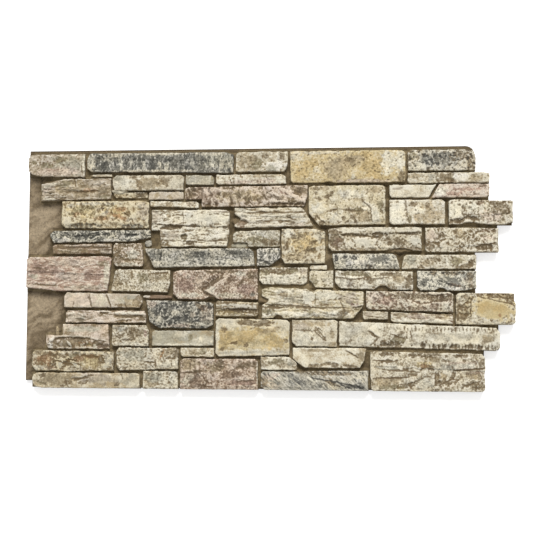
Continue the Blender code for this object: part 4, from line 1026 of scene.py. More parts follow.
def walk(outline, step):
    """The loop with a point about every step, corners kept."""
    points = []
    for start, end in zip(outline, np.roll(outline, -1, axis=0)):
        count = max(1, int(round(np.hypot(*(end - start)) / step)))
        for index in range(count):
            points.append(start + (end - start) * index / count)
    return np.array(points)


def inward(loop):
    """For each point of a counter-clockwise loop, the direction into it."""
    along = np.roll(loop, -1, axis=0) - np.roll(loop, 1, axis=0)
    normal = np.stack([-along[:, 1], along[:, 0]], axis=1)
    return normal / np.maximum(np.hypot(normal[:, 0], normal[:, 1]), 1e-9)[:, None]


def rough_outline(outline, worn_turns, seed):
    """The stone's edge as it broke: worn corners and a nibbled line."""
    loop = walk(outline, STEP)
    for _ in range(worn_turns):
        loop = (np.roll(loop, 1, axis=0) + 2 * loop + np.roll(loop, -1, axis=0)) / 4
    x, y = loop.T
    bite = smooth((rough(x, y, 30, seed, 4, 0.62) - 0.38) / 0.4)
    return loop + inward(loop) * (bite * NIBBLE)[:, None]


try_stone = next(iter(stones))
try_loop = rough_outline(stones[try_stone], WORN_TURNS, 1)
print(try_stone, "has", len(stones[try_stone]), "corners, and", len(try_loop), "points once broken")

# %% [markdown]
# ## A dense skin for each stone
# The moulding's stones are plain blocks. To break their faces, the mesh needs a point every two
# millimetres or so, close to one pixel of the photograph. A grid of points inside the outline, a few
# rings of points close to the edge for the worn arris, and a Delaunay triangulation that keeps the
# outline give an even mesh for any shape.

# %% Fill an outline
GRID = 1.9
RINGS = (0.9, 2.0, 3.3)


def edge_distance(points, loop):
    """How far each point is from the nearest side of a loop."""
    nearest = np.full(len(points), 1e9)
    for start, end in zip(loop, np.roll(loop, -1, axis=0)):
        side = end - start
        share = np.clip((points - start) @ side / max(float(side @ side), 1e-9), 0, 1)
        gap = points - start - share[:, None] * side
        nearest = np.minimum(nearest, np.einsum("ij,ij->i", gap, gap))
    return np.sqrt(nearest)


def scattered(low, high, pitch, seed):
    """A staggered grid of points between two corners, each moved a little so that no pattern shows."""
    columns = np.arange(low[0], high[0], pitch)
    rows_up = np.arange(low[1], high[1], pitch * 0.87)
    x, y = np.meshgrid(columns, rows_up)
    x = x + (np.arange(len(rows_up)) % 2)[:, None] * pitch / 2
    x = x + (hashed(np.round(x * 10), np.round(y * 10), seed) - 0.5) * pitch * 0.35
    y = y + (hashed(np.round(x * 10), np.round(y * 10), seed + 3) - 0.5) * pitch * 0.35
    return np.stack([x.ravel(), y.ravel()], axis=1)


def fill(loop, pitch, rings, seed):
    """Points and triangles that fill a loop. The loop's own points come first, in order."""
    inner = [loop + inward(loop) * ring for ring in rings]
    start = rings[-1] + pitch * 0.7 if rings else pitch * 0.6
    grid = scattered(loop.min(axis=0), loop.max(axis=0), pitch, seed)
    grid = grid[inside(grid, loop)]
    grid = grid[edge_distance(grid, loop) > start]
    for index, ring in enumerate(inner):
        ring = ring[inside(ring, loop)]
        inner[index] = ring[edge_distance(ring, loop) > rings[index] * 0.9]
    points = np.concatenate([loop] + inner + [grid])
    corners = [Vector(point) for point in points.tolist()]
    made = delaunay_2d_cdt(corners, [], [list(range(len(loop)))], 1, 1e-5)
    back_to = np.array([origin[0] if origin else -1 for origin in made[3]])
    if (back_to < 0).any():
        raise ValueError("an outline crosses itself")
    triangles = back_to[np.array([face for face in made[2] if len(face) == 3])]
    return points, triangles


print(try_stone, "is filled with", len(fill(try_loop, GRID, RINGS, 1)[1]), "triangles")

# %% [markdown]
# ## How the stone broke
# Each skin is one way in which stone breaks. It gives a height in millimetres and a tone: how far the
# sponge's coats reached, from 0 where the brown ground shows to 1 where the palest coat caught. A
# skin adds up noises of several sizes, and three helpers shape them: steps cut a slope into bedding
# layers, turned makes a noise run one way, and warped bends it, because nothing in stone is straight.

# %% Helpers for skins


def steps(value, count, edge=0.3):
    """A slope turned into flat treads with short risers."""
    scaled = value * count
    tread = np.floor(scaled)
    return (tread + smooth((scaled - tread - (1 - edge)) / edge)) / count


def turned(x, y, degrees):
    """Places along and across a direction."""
    angle = math.radians(degrees)
    return (x * math.cos(angle) + y * math.sin(angle), y * math.cos(angle) - x * math.sin(angle))


def warped(x, y, size, amount, seed):
    """Places pushed about by waves, so that nothing made from them runs straight."""
    push_x = (rough(x, y, size, seed, 3) - 0.5) * amount
    push_y = (rough(x, y, size, seed + 50, 3) - 0.5) * amount
    return x + push_x, y + push_y


print("a slope of 0 to 1 in 4 steps:", np.round(steps(np.linspace(0, 1, 6), 4), 2).tolist())

# %% [markdown]
# Cleft stone splits along its bedding into long thin steps with dark cracks. Crackle is a rock face
# of sharp ridges round pits, and a face that was struck off in planes is a facet.

# %% Skins of broken stone


def cleft_skin(x, y, seed, look):
    """Bedding layers split into long thin steps, with dark cracks and fine streaks."""
    _, bent = warped(x / 2.5, y, 26, 14, seed)
    streak = rough(x / 5.5, bent, 5.0, seed + 11, 4, 0.62)
    beds = rough(x / 3.5, bent, 17, seed + 21, 3)
    patch = rough(x / 1.8, bent, 15, seed + 31, 4, 0.6)
    crack = smooth((ridged(x / 7, bent, 13, seed + 41, 2) - 0.86) / 0.1)
    crack = crack * smooth((rough(x, y, 24, seed + 51, 2) - 0.46) / 0.12)
    grit = rough(x / 1.5, y, 3.6, seed + 61, 2, 0.8)
    tone = (0.5 + 0.95 * (streak - 0.5) + 0.65 * (patch - 0.5) + 0.35 * (beds - 0.5)
            + 0.6 * (grit - 0.5) - 0.6 * crack)
    return steps(beds, 7, 0.3) * 4.2 + streak * 1.6 + grit * 0.7 - crack * 1.3, tone


def crackle_skin(x, y, seed, look):
    """Sharp ridges round pits as wide as the look's cell."""
    size = look.get("cell", 12)
    bent_x, bent_y = warped(x, y, size * 1.4, size * 1.1, seed)
    ridge = ridged(bent_x, bent_y, size * 1.25, seed + 11, 3, 0.62)
    patch = rough(x, y, 26, seed + 31, 4, 0.6)
    grit = rough(x, y, 3.8, seed + 41, 2, 0.8)
    tone = 0.5 + 1.25 * (ridge - 0.66) + 0.5 * (patch - 0.5) + 0.75 * (grit - 0.5)
    return ridge * 3.0 + patch * 1.4 + grit * 0.9, tone


def facet_skin(x, y, seed, look):
    """Planes as wide as the look's cell, each leaning its own way."""
    size = look.get("cell", 44)
    _, number = cells(*warped(x, y, 34, 26, seed), size, seed)
    lean = number * 2 * math.pi * 3
    plane = np.cos(lean) * (x / size % 1) + np.sin(lean) * (y / size % 1)
    patch = rough(x, y, 18, seed + 17, 4, 0.62)
    grit = rough(x, y, 4.2, seed + 27, 3, 0.8)
    tone = 0.55 + 0.7 * (patch - 0.5) + 0.7 * (grit - 0.5)
    return number * 2.0 + plane * 0.6 + patch * 1.8 + grit * 1.2, tone


# %% [markdown]
# Pitted stone has small holes in some of its cells, speckled stone a coarse grit, and smooth stone
# only a swell and a fine grain.

# %% Skins of grainy stone


def pitted_skin(x, y, seed, look):
    """Small holes in a grainy face."""
    near, number = cells(*warped(x, y, 9, 8, seed), 9.5, seed + 5)
    holes = (1 - smooth((near - 0.06) / 0.26)) * (number > 0.6)
    swell = rough(x, y, 42, seed + 9, 4, 0.55)
    grit = rough(x / 1.3, y, 4.6, seed + 17, 3, 0.7)
    patch = rough(x, y, 17, seed + 27, 4, 0.6)
    tone = 0.55 + 0.9 * (grit - 0.5) + 0.5 * (patch - 0.5) - 0.5 * holes
    return swell * 2.4 + grit * 1.5 + patch * 0.8 - holes * 1.1, tone


def speckled_skin(x, y, seed, look):
    """A coarse grit all over."""
    grit = rough(*warped(x, y, 7, 5, seed), 4.8, seed + 3, 3, 0.8)
    patch = rough(x / 1.4, y, 20, seed + 9, 4, 0.6)
    tone = 0.52 + 1.4 * (grit - 0.5) + 0.6 * (patch - 0.5)
    return rough(x, y, 42, seed + 19, 3) * 1.8 + grit * 2.3 + patch, tone


def smooth_skin(x, y, seed, look):
    """A gentle swell with little grain."""
    swell = rough(x, y, 55, seed, 4, 0.5)
    patch = rough(x / 1.5, y, 19, seed + 4, 4, 0.62)
    grit = rough(x, y, 4.0, seed + 14, 2, 0.8)
    tone = 0.55 + 0.65 * (patch - 0.5) + 0.5 * (grit - 0.5)
    return swell * 2.2 + patch * 0.8 + grit * 0.7, tone


# %% [markdown]
# Slates run one way, which the look's turn gives: in thin streaks, or in longer blots.

# %% Skins that run one way


def streaked_skin(x, y, seed, look):
    """Thin streaks along the look's turn."""
    along, over = turned(*warped(x, y, 30, 8, seed), look["turn"])
    streak = rough(along / 5, over, 3.8, seed + 3, 3, 0.7)
    patch = rough(along / 2, over, 17, seed + 8, 3)
    grit = rough(x, y, 3.6, seed + 30, 2, 0.8)
    tone = 0.5 + 1.1 * (streak - 0.5) + 0.55 * (patch - 0.5) + 0.6 * (grit - 0.5)
    return streak * 2.0 + patch * 1.4 + grit * 0.7, tone


def mottled_skin(x, y, seed, look):
    """Longer blots along the look's turn."""
    along, over = turned(*warped(x, y, 16, 9, seed), look["turn"])
    blot = rough(along / 2.6, over, 5.0, seed + 3, 3, 0.75)
    patch = rough(along / 1.5, over, 24, seed + 8, 3)
    grit = rough(x, y, 3.6, seed + 30, 2, 0.8)
    tone = 0.5 + 1.1 * (blot - 0.5) + 0.4 * (patch - 0.5) + 0.7 * (grit - 0.5)
    return blot * 2.2 + grit * 1.0 + patch * 1.2, tone


SKINS = {
    "cleft": cleft_skin, "crackle": crackle_skin, "pitted": pitted_skin, "speckled": speckled_skin,
    "smooth": smooth_skin, "streaked": streaked_skin, "mottled": mottled_skin, "facet": facet_skin,
}
print(len(SKINS), "skins")

# %% [markdown]
# ## Marks and ledges
# A mark is an oval whose edge is broken by noise. It lays its own paint over the coat and sinks or
# lifts the stone. A ledge lifts the stone above its line, steeply at the line and fading away from
# it, and holds a dark line below: partly wash in the crease, and partly painted shadow of the step.
# A mark that stands a millimetre proud or more is a pad of smooth rock, so its skin and its paint are
# calmer.

# %% Marks and ledges
LEDGE_REACH = 24.0
PAD = -1.0


def mark_strength(x, y, mark, seed):
    """How much of a mark is at each place, from 0 to 1."""
    _, at_x, at_y, wide, high, _, degrees = mark
    along, over = turned(x - at_x, y - at_y, degrees)
    ragged = (rough(x, y, 12, seed + 70, 4, 0.65) - 0.5) * 1.5
    reach = np.hypot(along / wide, over / high) + ragged
    return smooth((1.22 - reach) / 0.42)


def ledge_lift(x, y, ledge, seed):
    """How far a ledge lifts each place, in millimetres, and where its dark line of wash and painted shadow
    lies, from 0 to 1.
    """
    from_x, from_y, to_x, to_y, lift = ledge
    length = math.hypot(to_x - from_x, to_y - from_y)
    along_x, along_y = (to_x - from_x) / length, (to_y - from_y) / length
    along = (x - from_x) * along_x + (y - from_y) * along_y
    over = (y - from_y) * along_x - (x - from_x) * along_y
    over = over + 5.0 * (rough(x, y, 18, seed + 80, 4, 0.6) - 0.5)
    if lift < 0:
        over = -over
    ends = smooth((along + 5) / 8) * smooth((length + 5 - along) / 8)
    rise = smooth((over + 0.8) / 1.6) * (1 - smooth((over - 4) / LEDGE_REACH))
    line = smooth((over + 4.5) / 3) * (1 - smooth((over + 1.0) / 1.8))
    return abs(lift) * rise * ends, line * ends * min(abs(lift) / 1.6, 1.0)


print(sum(len(each["ledges"]) for each in LOOKS.values()), "ledges and",
      sum(mark[5] <= PAD for each in LOOKS.values() for mark in each["marks"]), "pads")

# %% [markdown]
# ## Heights
# A ray from above finds the moulding's own face under each point, with its tilt, its raised layers
# and its sloping spalls. The skin is laid on that, less its own mean, and kept below the panel's
# face, so that no stone grows out of the moulding's box. Towards the edge the stone rounds over.

# %% Heights
TOP = float(SIZE[2])
EDGE_BAND = 3.4
tree_of_faces = BVHTree.FromPolygons(
    [vertex.co[:] for vertex in moulding.data.vertices],
    [polygon.vertices[:] for polygon in moulding.data.polygons])
DOWN = Vector((0, 0, -1))
ABOVE = 0.1


def moulded_height(points):
    """The moulding's height under each point, in millimetres."""
    heights = np.zeros(len(points))
    for index, (x, y) in enumerate((points * MM + CORNER[:2]).tolist()):
        hit = tree_of_faces.ray_cast(Vector((x, y, ABOVE)), DOWN)
        heights[index] = hit[0].z / MM if hit[0] else 0.0
    return heights


def inner_heights(points, distance):
    """Heights of the moulded face. Points near the edge take that of the nearest inner point."""
    limit = min(EDGE_BAND, 0.6 * float(distance.max()))
    is_inner = np.flatnonzero(distance >= limit)
    heights = np.zeros(len(points))
    heights[is_inner] = moulded_height(points[is_inner])
    near = KDTree(len(is_inner))
    for place, index in enumerate(is_inner):
        near.insert((points[index][0], points[index][1], 0), place)
    near.balance()
    for index in np.flatnonzero(distance < limit):
        _, place, _ = near.find((points[index][0], points[index][1], 0))
        heights[index] = heights[is_inner[place]]
    return heights


try_place = np.array([LOOKS[try_stone]["at"]], float)
print(try_stone, "stands", round(float(moulded_height(try_place)[0]), 1), "mm high at its place")

# %% [markdown]
# A paint knows a hollow by its neighbours, so the masks need the mean of the points around each
# point. The heights need a limit that bends them over softly instead of cutting them flat.

# %% Means and limits


def averaged(values, triangles, turns):
    """Each value replaced by the mean of its neighbours, several times."""
    first = np.concatenate([triangles[:, 0], triangles[:, 1], triangles[:, 2]])
    second = np.concatenate([triangles[:, 1], triangles[:, 2], triangles[:, 0]])
    count = np.bincount(first, minlength=len(values)) + 1
    for _ in range(turns):
        values = (values + np.bincount(first, values[second], len(values))) / count
    return values


def below(values, limit, softness):
    """Values kept under a limit, with a soft shoulder instead of a flat cut."""
    return limit - softness * np.logaddexp(0, (limit - values) / softness)


print("9, 10 and 11 mm below 10:", np.round(below(np.array([9.0, 10.0, 11.0]), 10, 0.35), 1).tolist())

# %% [markdown]
# ## From arrays to a piece
# Every piece ends as a mesh object. Its points carry the colour of the paint and the two masks as
# attributes, which the materials above read. The whole moulding is rigid, so each piece rides the
# one body, with one of the painted materials above.

# %% Mesh of a piece


def mesh_piece(name, points, heights, faces, colours, wash_and_shade, proud, material):
    """A mesh object in metres, with the paint's colour and masks on its points."""
    data = bpy.data.meshes.new(name)
    places = np.concatenate([points * MM + CORNER[:2], (heights * MM + CORNER[2])[:, None]], axis=1)
    data.vertices.add(len(places))
    data.vertices.foreach_set("co", places.astype(np.float32).ravel())
    data.loops.add(faces.size)
    data.loops.foreach_set("vertex_index", faces.astype(np.int32).ravel())
    data.polygons.add(len(faces))
    data.polygons.foreach_set("loop_start", np.arange(0, faces.size, 3, dtype=np.int32))
    data.update(calc_edges=True)
    data.polygons.foreach_set("use_smooth", np.ones(len(faces), bool))
    coat = data.attributes.new("coat", "FLOAT_COLOR", "POINT")
    coat.data.foreach_set("color", np.c_[colours, np.ones(len(colours))].astype(np.float32).ravel())
    for mask, values in (("wash_and_shade", wash_and_shade), ("proud", proud)):
        layer = data.attributes.new(mask, "FLOAT", "POINT")
        layer.data.foreach_set("value", values.astype(np.float32))
    data.validate()
    data.materials.append(material)
    piece = bpy.data.objects.new(name, data)
    bpy.context.scene.collection.objects.link(piece)
    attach(piece, "root")
    return piece


print("pieces are put in from", [round(float(side), 4) for side in CORNER], "m")

# %% [markdown]
# ## The coats of one stone
# The tone decides between ground, coat and a lighter coat that has chalk in it. Then the marks are
# laid over in their order, thinner where flecks of the coat below show through, and the whole is made
# a little warmer and cooler in wide patches, because no two sponges of paint are mixed alike.

# %% Coats of paint
CONTRAST = 1.2
LIGHTER_CHALK = 0.5
PAD_COVER = 0.92
WARM_AND_COOL = np.array([0.10, 0.04, -0.10])


def paint(x, y, tone, look, seed):
    """The sponged coats of a stone as a colour for each point."""
    tone = np.clip(0.5 + CONTRAST * (tone - 0.5) + look.get("pale", 0.0) - 0.05, 0, 1)[:, None]
    coat = PAINT[look["coat"]]
    lightest = coat * (1 - LIGHTER_CHALK) + PAINT["chalk"] * LIGHTER_CHALK
    ground = PAINT[look["ground"]]
    low = smooth(tone / 0.55)
    high = smooth((tone - 0.5) / 0.5)
    colour = ground * (1 - low) + coat * low
    colour = colour * (1 - high) + lightest * high
    shade = 0.45 + 0.9 * tone
    fleck = smooth((rough(x, y, 6, seed + 140, 3, 0.7)[:, None] - 0.3) / 0.35)
    for index, mark in enumerate(look["marks"]):
        cover = PAD_COVER if mark[5] <= PAD else 0.64 + 0.32 * fleck
        strength = mark_strength(x, y, mark, seed + index)[:, None] * cover
        colour = colour * (1 - strength) + PAINT[mark[0]] * shade * strength
    warm = rough(x, y, 34, seed + 90, 3)[:, None] - 0.5
    return colour * (1 + warm * WARM_AND_COOL)


print(len({each["coat"] for each in LOOKS.values()}), "different coats")

# %% [markdown]
# ## The face of one stone
# The skin gets its marks and ledges, and is laid over the moulded face. The arris is worn, more in
# some places than in others, and the skin is calmer towards it. The mask of wash and painted shade
# grows where a point lies under the mean of its neighbours and along the ledges' dark lines, and a
# thin band of painted shade lies right at the edge, where the face turns down into the joint. The
# proud mask grows where a point lies above, or close to the rim.

# %% Face of a stone
PAD_CALM = 0.6
PAD_TONE = 0.58
PAD_PAINT = 0.65
ARRIS = 1.0
ARRIS_CHANGE = 2.8
CALM_BAND = 4.0
SHOULDER = 0.35
CLEARANCE = 0.1


def face_relief(x, y, look, seed):
    """The skin's height with marks and ledges, its tone, and the dark lines of wash and painted shadow
    under the ledges.
    """
    skin, tone = SKINS[look["skin"]](x, y, seed, look)
    skin = skin - skin.mean()
    for index, mark in enumerate(look["marks"]):
        strength = mark_strength(x, y, mark, seed + index)
        if mark[5] <= PAD:
            skin = skin * (1 - PAD_CALM * strength)
            tone = tone + (PAD_TONE - tone) * PAD_PAINT * strength
        skin = skin - mark[5] * strength
    wash_and_shadow_line = np.zeros(len(x))
    for ledge in look["ledges"]:
        lift, line = ledge_lift(x, y, ledge, seed)
        skin = skin + lift
        wash_and_shadow_line = np.maximum(wash_and_shadow_line, line)
    return skin, tone, wash_and_shadow_line


def face_heights(points, skin, distance, seed):
    """The skin laid over the moulded face, with a worn arris, and kept under the panel's face."""
    worn = ARRIS + ARRIS_CHANGE * rough(points[:, 0], points[:, 1], 22, seed + 110, 3)
    share = np.clip(1 - distance / worn, 0, 1)
    rounding = worn * (1 - np.sqrt(1 - share * share)) * 0.85
    calm = smooth(distance / CALM_BAND) * 0.75 + 0.25
    base = inner_heights(points, distance)
    return below(base + skin * calm - rounding, TOP - CLEARANCE, SHOULDER)


def face_masks(skin, wash_and_shadow_line, distance, triangles):
    """Where the wash and the painted shade lie and where the dry brush touches, for each point of a face.
    """
    relief = skin - averaged(skin, triangles, 6)
    broad = skin - averaged(skin, triangles, 24)
    wash_and_shade = np.clip(-relief / 1.2 - 0.3 * broad, 0, 1) + wash_and_shadow_line
    # A thin band right at the edge is painted shade, where the face turns down into the shaded joint.
    wash_and_shade = wash_and_shade * smooth(distance / 2.5) + 0.2 * (1 - smooth(distance))
    rim = smooth((distance - 0.6) / 1.2) * (1 - smooth((distance - 2.0) / 4.0))
    proud = np.clip(relief + 0.3 * broad, 0, 1) + 0.3 * rim
    return wash_and_shade, proud


print("faces stay under", round(TOP - CLEARANCE, 1), "mm")

# %% [markdown]
# ## The sides of one stone
# The sides go down in rings to the underside of the bed, each ring a little further out, as the
# mould's draft has it, with chips bitten out between. A brush that paints the face runs on over the
# edge, so the sides wear the face's own paint, folded out flat: a point two millimetres down the
# side takes the paint that would lie two millimetres beyond the edge, darkened by the brown base.
# The wash mask grows further down the sides: partly brown wash, and partly painted shade deep in the
# joint.

# %% Sides of a stone
FOOT = 10.5
WALL_RINGS = 5
CHIP = 2.6
SIDE_UMBER = 0.4
FACING_TURNS = 8


def nearest_on(points, outline):
    """For each point, the nearest place on an outline."""
    best = np.full(len(points), 1e9)
    place = points.copy()
    for start, end in zip(outline, np.roll(outline, -1, axis=0)):
        side = end - start
        share = np.clip((points - start) @ side / max(float(side @ side), 1e-9), 0, 1)
        on_side = start + share[:, None] * side
        gap = np.hypot(*(points - on_side).T)
        closer = gap < best
        best = np.where(closer, gap, best)
        place = np.where(closer[:, None], on_side, place)
    return place


def stone_sides(loop, foot_loop, shoulder, look, seed):
    """The rings of points down a stone's sides, with their heights and their paint."""
    facing = inward(loop)
    for _ in range(FACING_TURNS):
        facing = (np.roll(facing, 1, axis=0) + facing + np.roll(facing, -1, axis=0)) / 3
    shares = np.arange(1, WALL_RINGS + 1) / WALL_RINGS
    folded = [loop - facing * ((shoulder - FOOT) * share)[:, None] for share in shares]
    x, y = np.concatenate(folded).T
    _, tone = SKINS[look["skin"]](x, y, seed, look)
    colours = paint(x, y, tone, look, seed) * (1 - SIDE_UMBER) + PAINT["umber"] * SIDE_UMBER
    chips = np.maximum(rough(x, y, 11, seed + 120, 4, 0.65) - 0.3, 0) * CHIP
    points = []
    heights = []
    for share, chip in zip(shares, np.split(chips, WALL_RINGS)):
        bite = chip * 4 * share * (1 - share)
        spread = loop + (foot_loop - loop) * smooth(share * 1.15)
        points.append(spread + inward(loop) * bite[:, None])
        heights.append(shoulder + (FOOT - shoulder) * share)
    return np.concatenate(points), np.concatenate(heights), colours


def side_faces(count, start, rings):
    """Triangles down a side: from the outline's count points, over rings that begin at start."""
    around = np.arange(count)
    after = np.roll(around, -1)
    upper = around
    faces = []
    for ring in range(rings):
        lower = start + ring * count + around
        faces.append(np.stack([upper, lower, lower[after]], axis=1))
        faces.append(np.stack([upper, lower[after], upper[after]], axis=1))
        upper = lower
    return np.concatenate(faces)


print("sides of", len(try_loop), "points get", len(side_faces(len(try_loop), 0, WALL_RINGS)), "triangles")

# %% [markdown]
# ## Every stone
# One function puts a stone together, and a loop makes all of them. A stone's seed follows from its
# number in the list of looks, so no two stones break alike, and each breaks the same on every run.

# %% Build the stones
FIRST_SEED = 1000
SEED_STEP = 37
SHADOW_LINE_DARKER = 0.3


def dress_stone(name, number):
    """One stone of the panel, with its own broken face and paint."""
    look = LOOKS[name]
    seed = FIRST_SEED + SEED_STEP * number
    loop = rough_outline(stones[name], look.get("worn", WORN_TURNS), seed)
    points, triangles = fill(loop, GRID, RINGS, seed)
    distance = edge_distance(points, loop)
    x, y = points.T
    skin, tone, wash_and_shadow_line = face_relief(x, y, look, seed)
    heights = face_heights(points, skin, distance, seed)
    wash_and_shade, proud = face_masks(skin, wash_and_shadow_line, distance, triangles)
    # Along the ledges' dark lines the paint itself is darker too: painted shadow under each step.
    colours = paint(x, y, tone - SHADOW_LINE_DARKER * wash_and_shadow_line, look, seed)

    count = len(loop)
    foot_loop = nearest_on(loop, stones[name])
    side_points, side_heights, side_colours = stone_sides(loop, foot_loop, heights[:count], look, seed)
    # Deeper down the sides the wash mask grows: brown wash and painted shade in the joint.
    side_wash_and_shade = np.repeat(0.1 + 0.5 * np.arange(1, WALL_RINGS + 1) / WALL_RINGS, count)
    return mesh_piece(
        name, np.concatenate([points, side_points]), np.concatenate([heights, side_heights]),
        np.concatenate([triangles, side_faces(count, len(points), WALL_RINGS)]),
        np.concatenate([colours, side_colours]), np.concatenate([wash_and_shade, side_wash_and_shade]),
        np.concatenate([proud, np.zeros(len(side_wash_and_shade))]), MATERIALS[look["kind"]])


pieces = [dress_stone(name, number) for number, name in enumerate(LOOKS)]
triangles_so_far = sum(len(piece.data.polygons) for piece in pieces)
print(len(pieces), "stones,", triangles_so_far, "triangles")

# %% [markdown]
# ## Mortar, flange and back
# Between the stones the mould was filled with a rough mortar joint, and at the left and along the
# top the bare flange keeps the smeared surface of the moulding. The back and the outer edges are
# flat. They come from the moulding itself, cut off below the bed, and two dense sheets are laid over
# it: the bed at its own height, and the flange five millimetres lower. Both outlines are sections of
# the moulding, as the stones' are.

# %% Outlines of the sheets
FLANGE = 10.0
BED_CUT = 12.0
PLATE_CUT = 9.0
EDGE_STEP = 1.5

bed_loop = max([corners_only(loop) for loop in section(BED_CUT)], key=area)
plate_loop = max([corners_only(loop) for loop in section(PLATE_CUT)], key=area)
edge_points = np.concatenate([walk(loop, EDGE_STEP) for loop in stones.values()])
stone_edge = KDTree(len(edge_points))
for index, point in enumerate(edge_points):
    stone_edge.insert((point[0], point[1], 0), index)
stone_edge.balance()
print("bed", len(bed_loop), "corners, plate", len(plate_loop), "corners")

# %% [markdown]
# The mortar has to know where the stones are. It rises to them in a fillet, its paint is darker near
# them, partly a sepia wash and partly painted shade from the stones, and where they cover it, it is
# left out.

# %% Distances to the stones


def gap_to_stones(points):
    """How far each point is from the nearest stone's edge."""
    return np.array([stone_edge.find((x, y, 0))[2] for x, y in points.tolist()])


def under_stones(points, margin):
    """Which points a stone hides, at least margin inside its outline."""
    hidden = np.zeros(len(points), bool)
    for loop in stones.values():
        low = loop.min(axis=0)
        high = loop.max(axis=0)
        near = np.flatnonzero(((points > low) & (points < high)).all(axis=1))
        if len(near):
            within = near[inside(points[near], loop)]
            hidden[within[edge_distance(points[within], loop) > margin]] = True
    return hidden


print("a place is", round(float(gap_to_stones(try_place)[0]), 1), "mm inside", try_stone)

# %% [markdown]
# ## The surface of mortar and flange
# The flange was smeared by hand in the mould, so its swell and its lighter paint run slantwise, and
# a few smudges are larger than that: a dark one low at the left and pale ones above. In some places
# mortar stands higher between the stones, or fills a notch of one. Those bridges take the paint of
# the stones next to them, blotched, because the same sponge went over them.

# %% Smears, smudges and bridges
# Across, up, half width, half height and how much lighter
SMUDGES = (
    (28, 125, 45, 60, -0.8), (50, 440, 50, 55, 0.5), (18, 530, 26, 30, 0.5), (60, 235, 60, 30, -0.2),
)
# Across, up, half width, half height, height of its top and paint
BRIDGES = (
    (47, 501, 12, 7, 25, "buff"), (243, 506, 20, 6, 28, "cream"), (340, 386, 15, 17, 19, "joint"),
    (548, 428, 12, 9, 23, "umber"), (557, 365, 21, 7, 22, "grey_buff"), (620, 226, 15, 8, 26, "umber"),
    (675, 261, 62, 5, 20, "joint_light"), (740, 262, 16, 7, 20, "joint_light"),
    (915, 256, 17, 7, 22, "umber"), (481, 236, 17, 6, 20, "joint_light"), (660, 187, 14, 6, 21, "umber"),
    (1055, 253, 24, 5, 20, "joint"), (84, 146, 4, 14, 20, "tan"), (101, 146, 4, 14, 20, "tan"),
    (955, 352, 34, 6, 24, "umber"), (730, 519, 45, 5, 21, "joint_light"),
    (1020, 100, 150, 4, 20, "joint_light"),
)


def smears(x, y):
    """The smeared surface of the bare flange: height in millimetres and how light the paint is."""
    along, over = turned(*warped(x, y, 60, 34, 5), 26)
    swell = rough(along / 2.6, over, 24, 11, 4, 0.6)
    light = 0.5 + 2.4 * (rough(along / 3.4, over, 17, 23, 4, 0.6) - 0.5)
    light = light + 1.2 * (rough(x, y, 70, 27, 2) - 0.5) + 0.5 * (rough(x, y, 5, 33, 2) - 0.5)
    return (swell - 0.5) * 2.2 + 0.6 * (rough(x, y, 5, 31, 3) - 0.5), np.clip(light, 0, 1)


def bridge_share(x, y, bridge):
    """How much of a bridge of mortar is at each place, from 0 to 1."""
    at_x, at_y, wide, high = bridge[:4]
    reach = np.hypot((x - at_x) / wide, (y - at_y) / high) + 0.5 * (rough(x, y, 9, 91, 3) - 0.5)
    return smooth((1.2 - reach) / 0.4)


print(len(SMUDGES), "smudges and", len(BRIDGES), "bridges")

# %% [markdown]
# The bed sinks at its rim and rises at the stones. The flange waves a little and stays just below the
# bed's foot, where it runs up in a soft shelf.

# %% Heights of the sheets
FILLET = 4.0
RIM_SINK = 2.6
RIM_BAND = 8
GRIT_DEPTH = 2.2
BRIDGE_GRIT = 1.5
SHELF = 2.0
SHELF_BAND = 12


def bed_heights(x, y, edge, gap):
    """The mortar's heights: gritty, sunk at the rim, with fillets at the stones and bridges."""
    grit = rough(x, y, 9, 41, 4, 0.65)
    inner = smooth(edge / RIM_BAND)
    heights = BED - 0.2 - GRIT_DEPTH * (grit - 0.25).clip(0) - RIM_SINK * (1 - inner)
    heights = heights + FILLET * (1 - smooth((gap - 1.5) / 4.0)) * inner
    for bridge in BRIDGES:
        share = bridge_share(x, y, bridge)
        heights = heights * (1 - share) + (bridge[4] - BRIDGE_GRIT * grit) * share
    return heights


def flange_heights(points, wave):
    """The flange's heights: its waves, with a shelf at the foot of the bed."""
    shelf = SHELF * (1 - smooth(edge_distance(points, bed_loop) / SHELF_BAND))
    outside = ~inside(points, bed_loop)
    return FLANGE - 0.1 + wave - 0.9 + np.where(outside, shelf, 0)


print("a fillet climbs", FILLET, "mm and the shelf", SHELF, "mm")

# %% [markdown]
# The base coat is lighter where the smears are. It is darkest near the stones, where a sepia wash
# and painted shade lie, and in the joints a patchy joint colour lies over it. A strip of the joint
# colour runs along the top edge too.

# %% Paint of the sheets
TOP_STRIP = 14
NEAR_STONES = 28.0
NEAR_STONES_WASH_AND_SHADE = 0.62


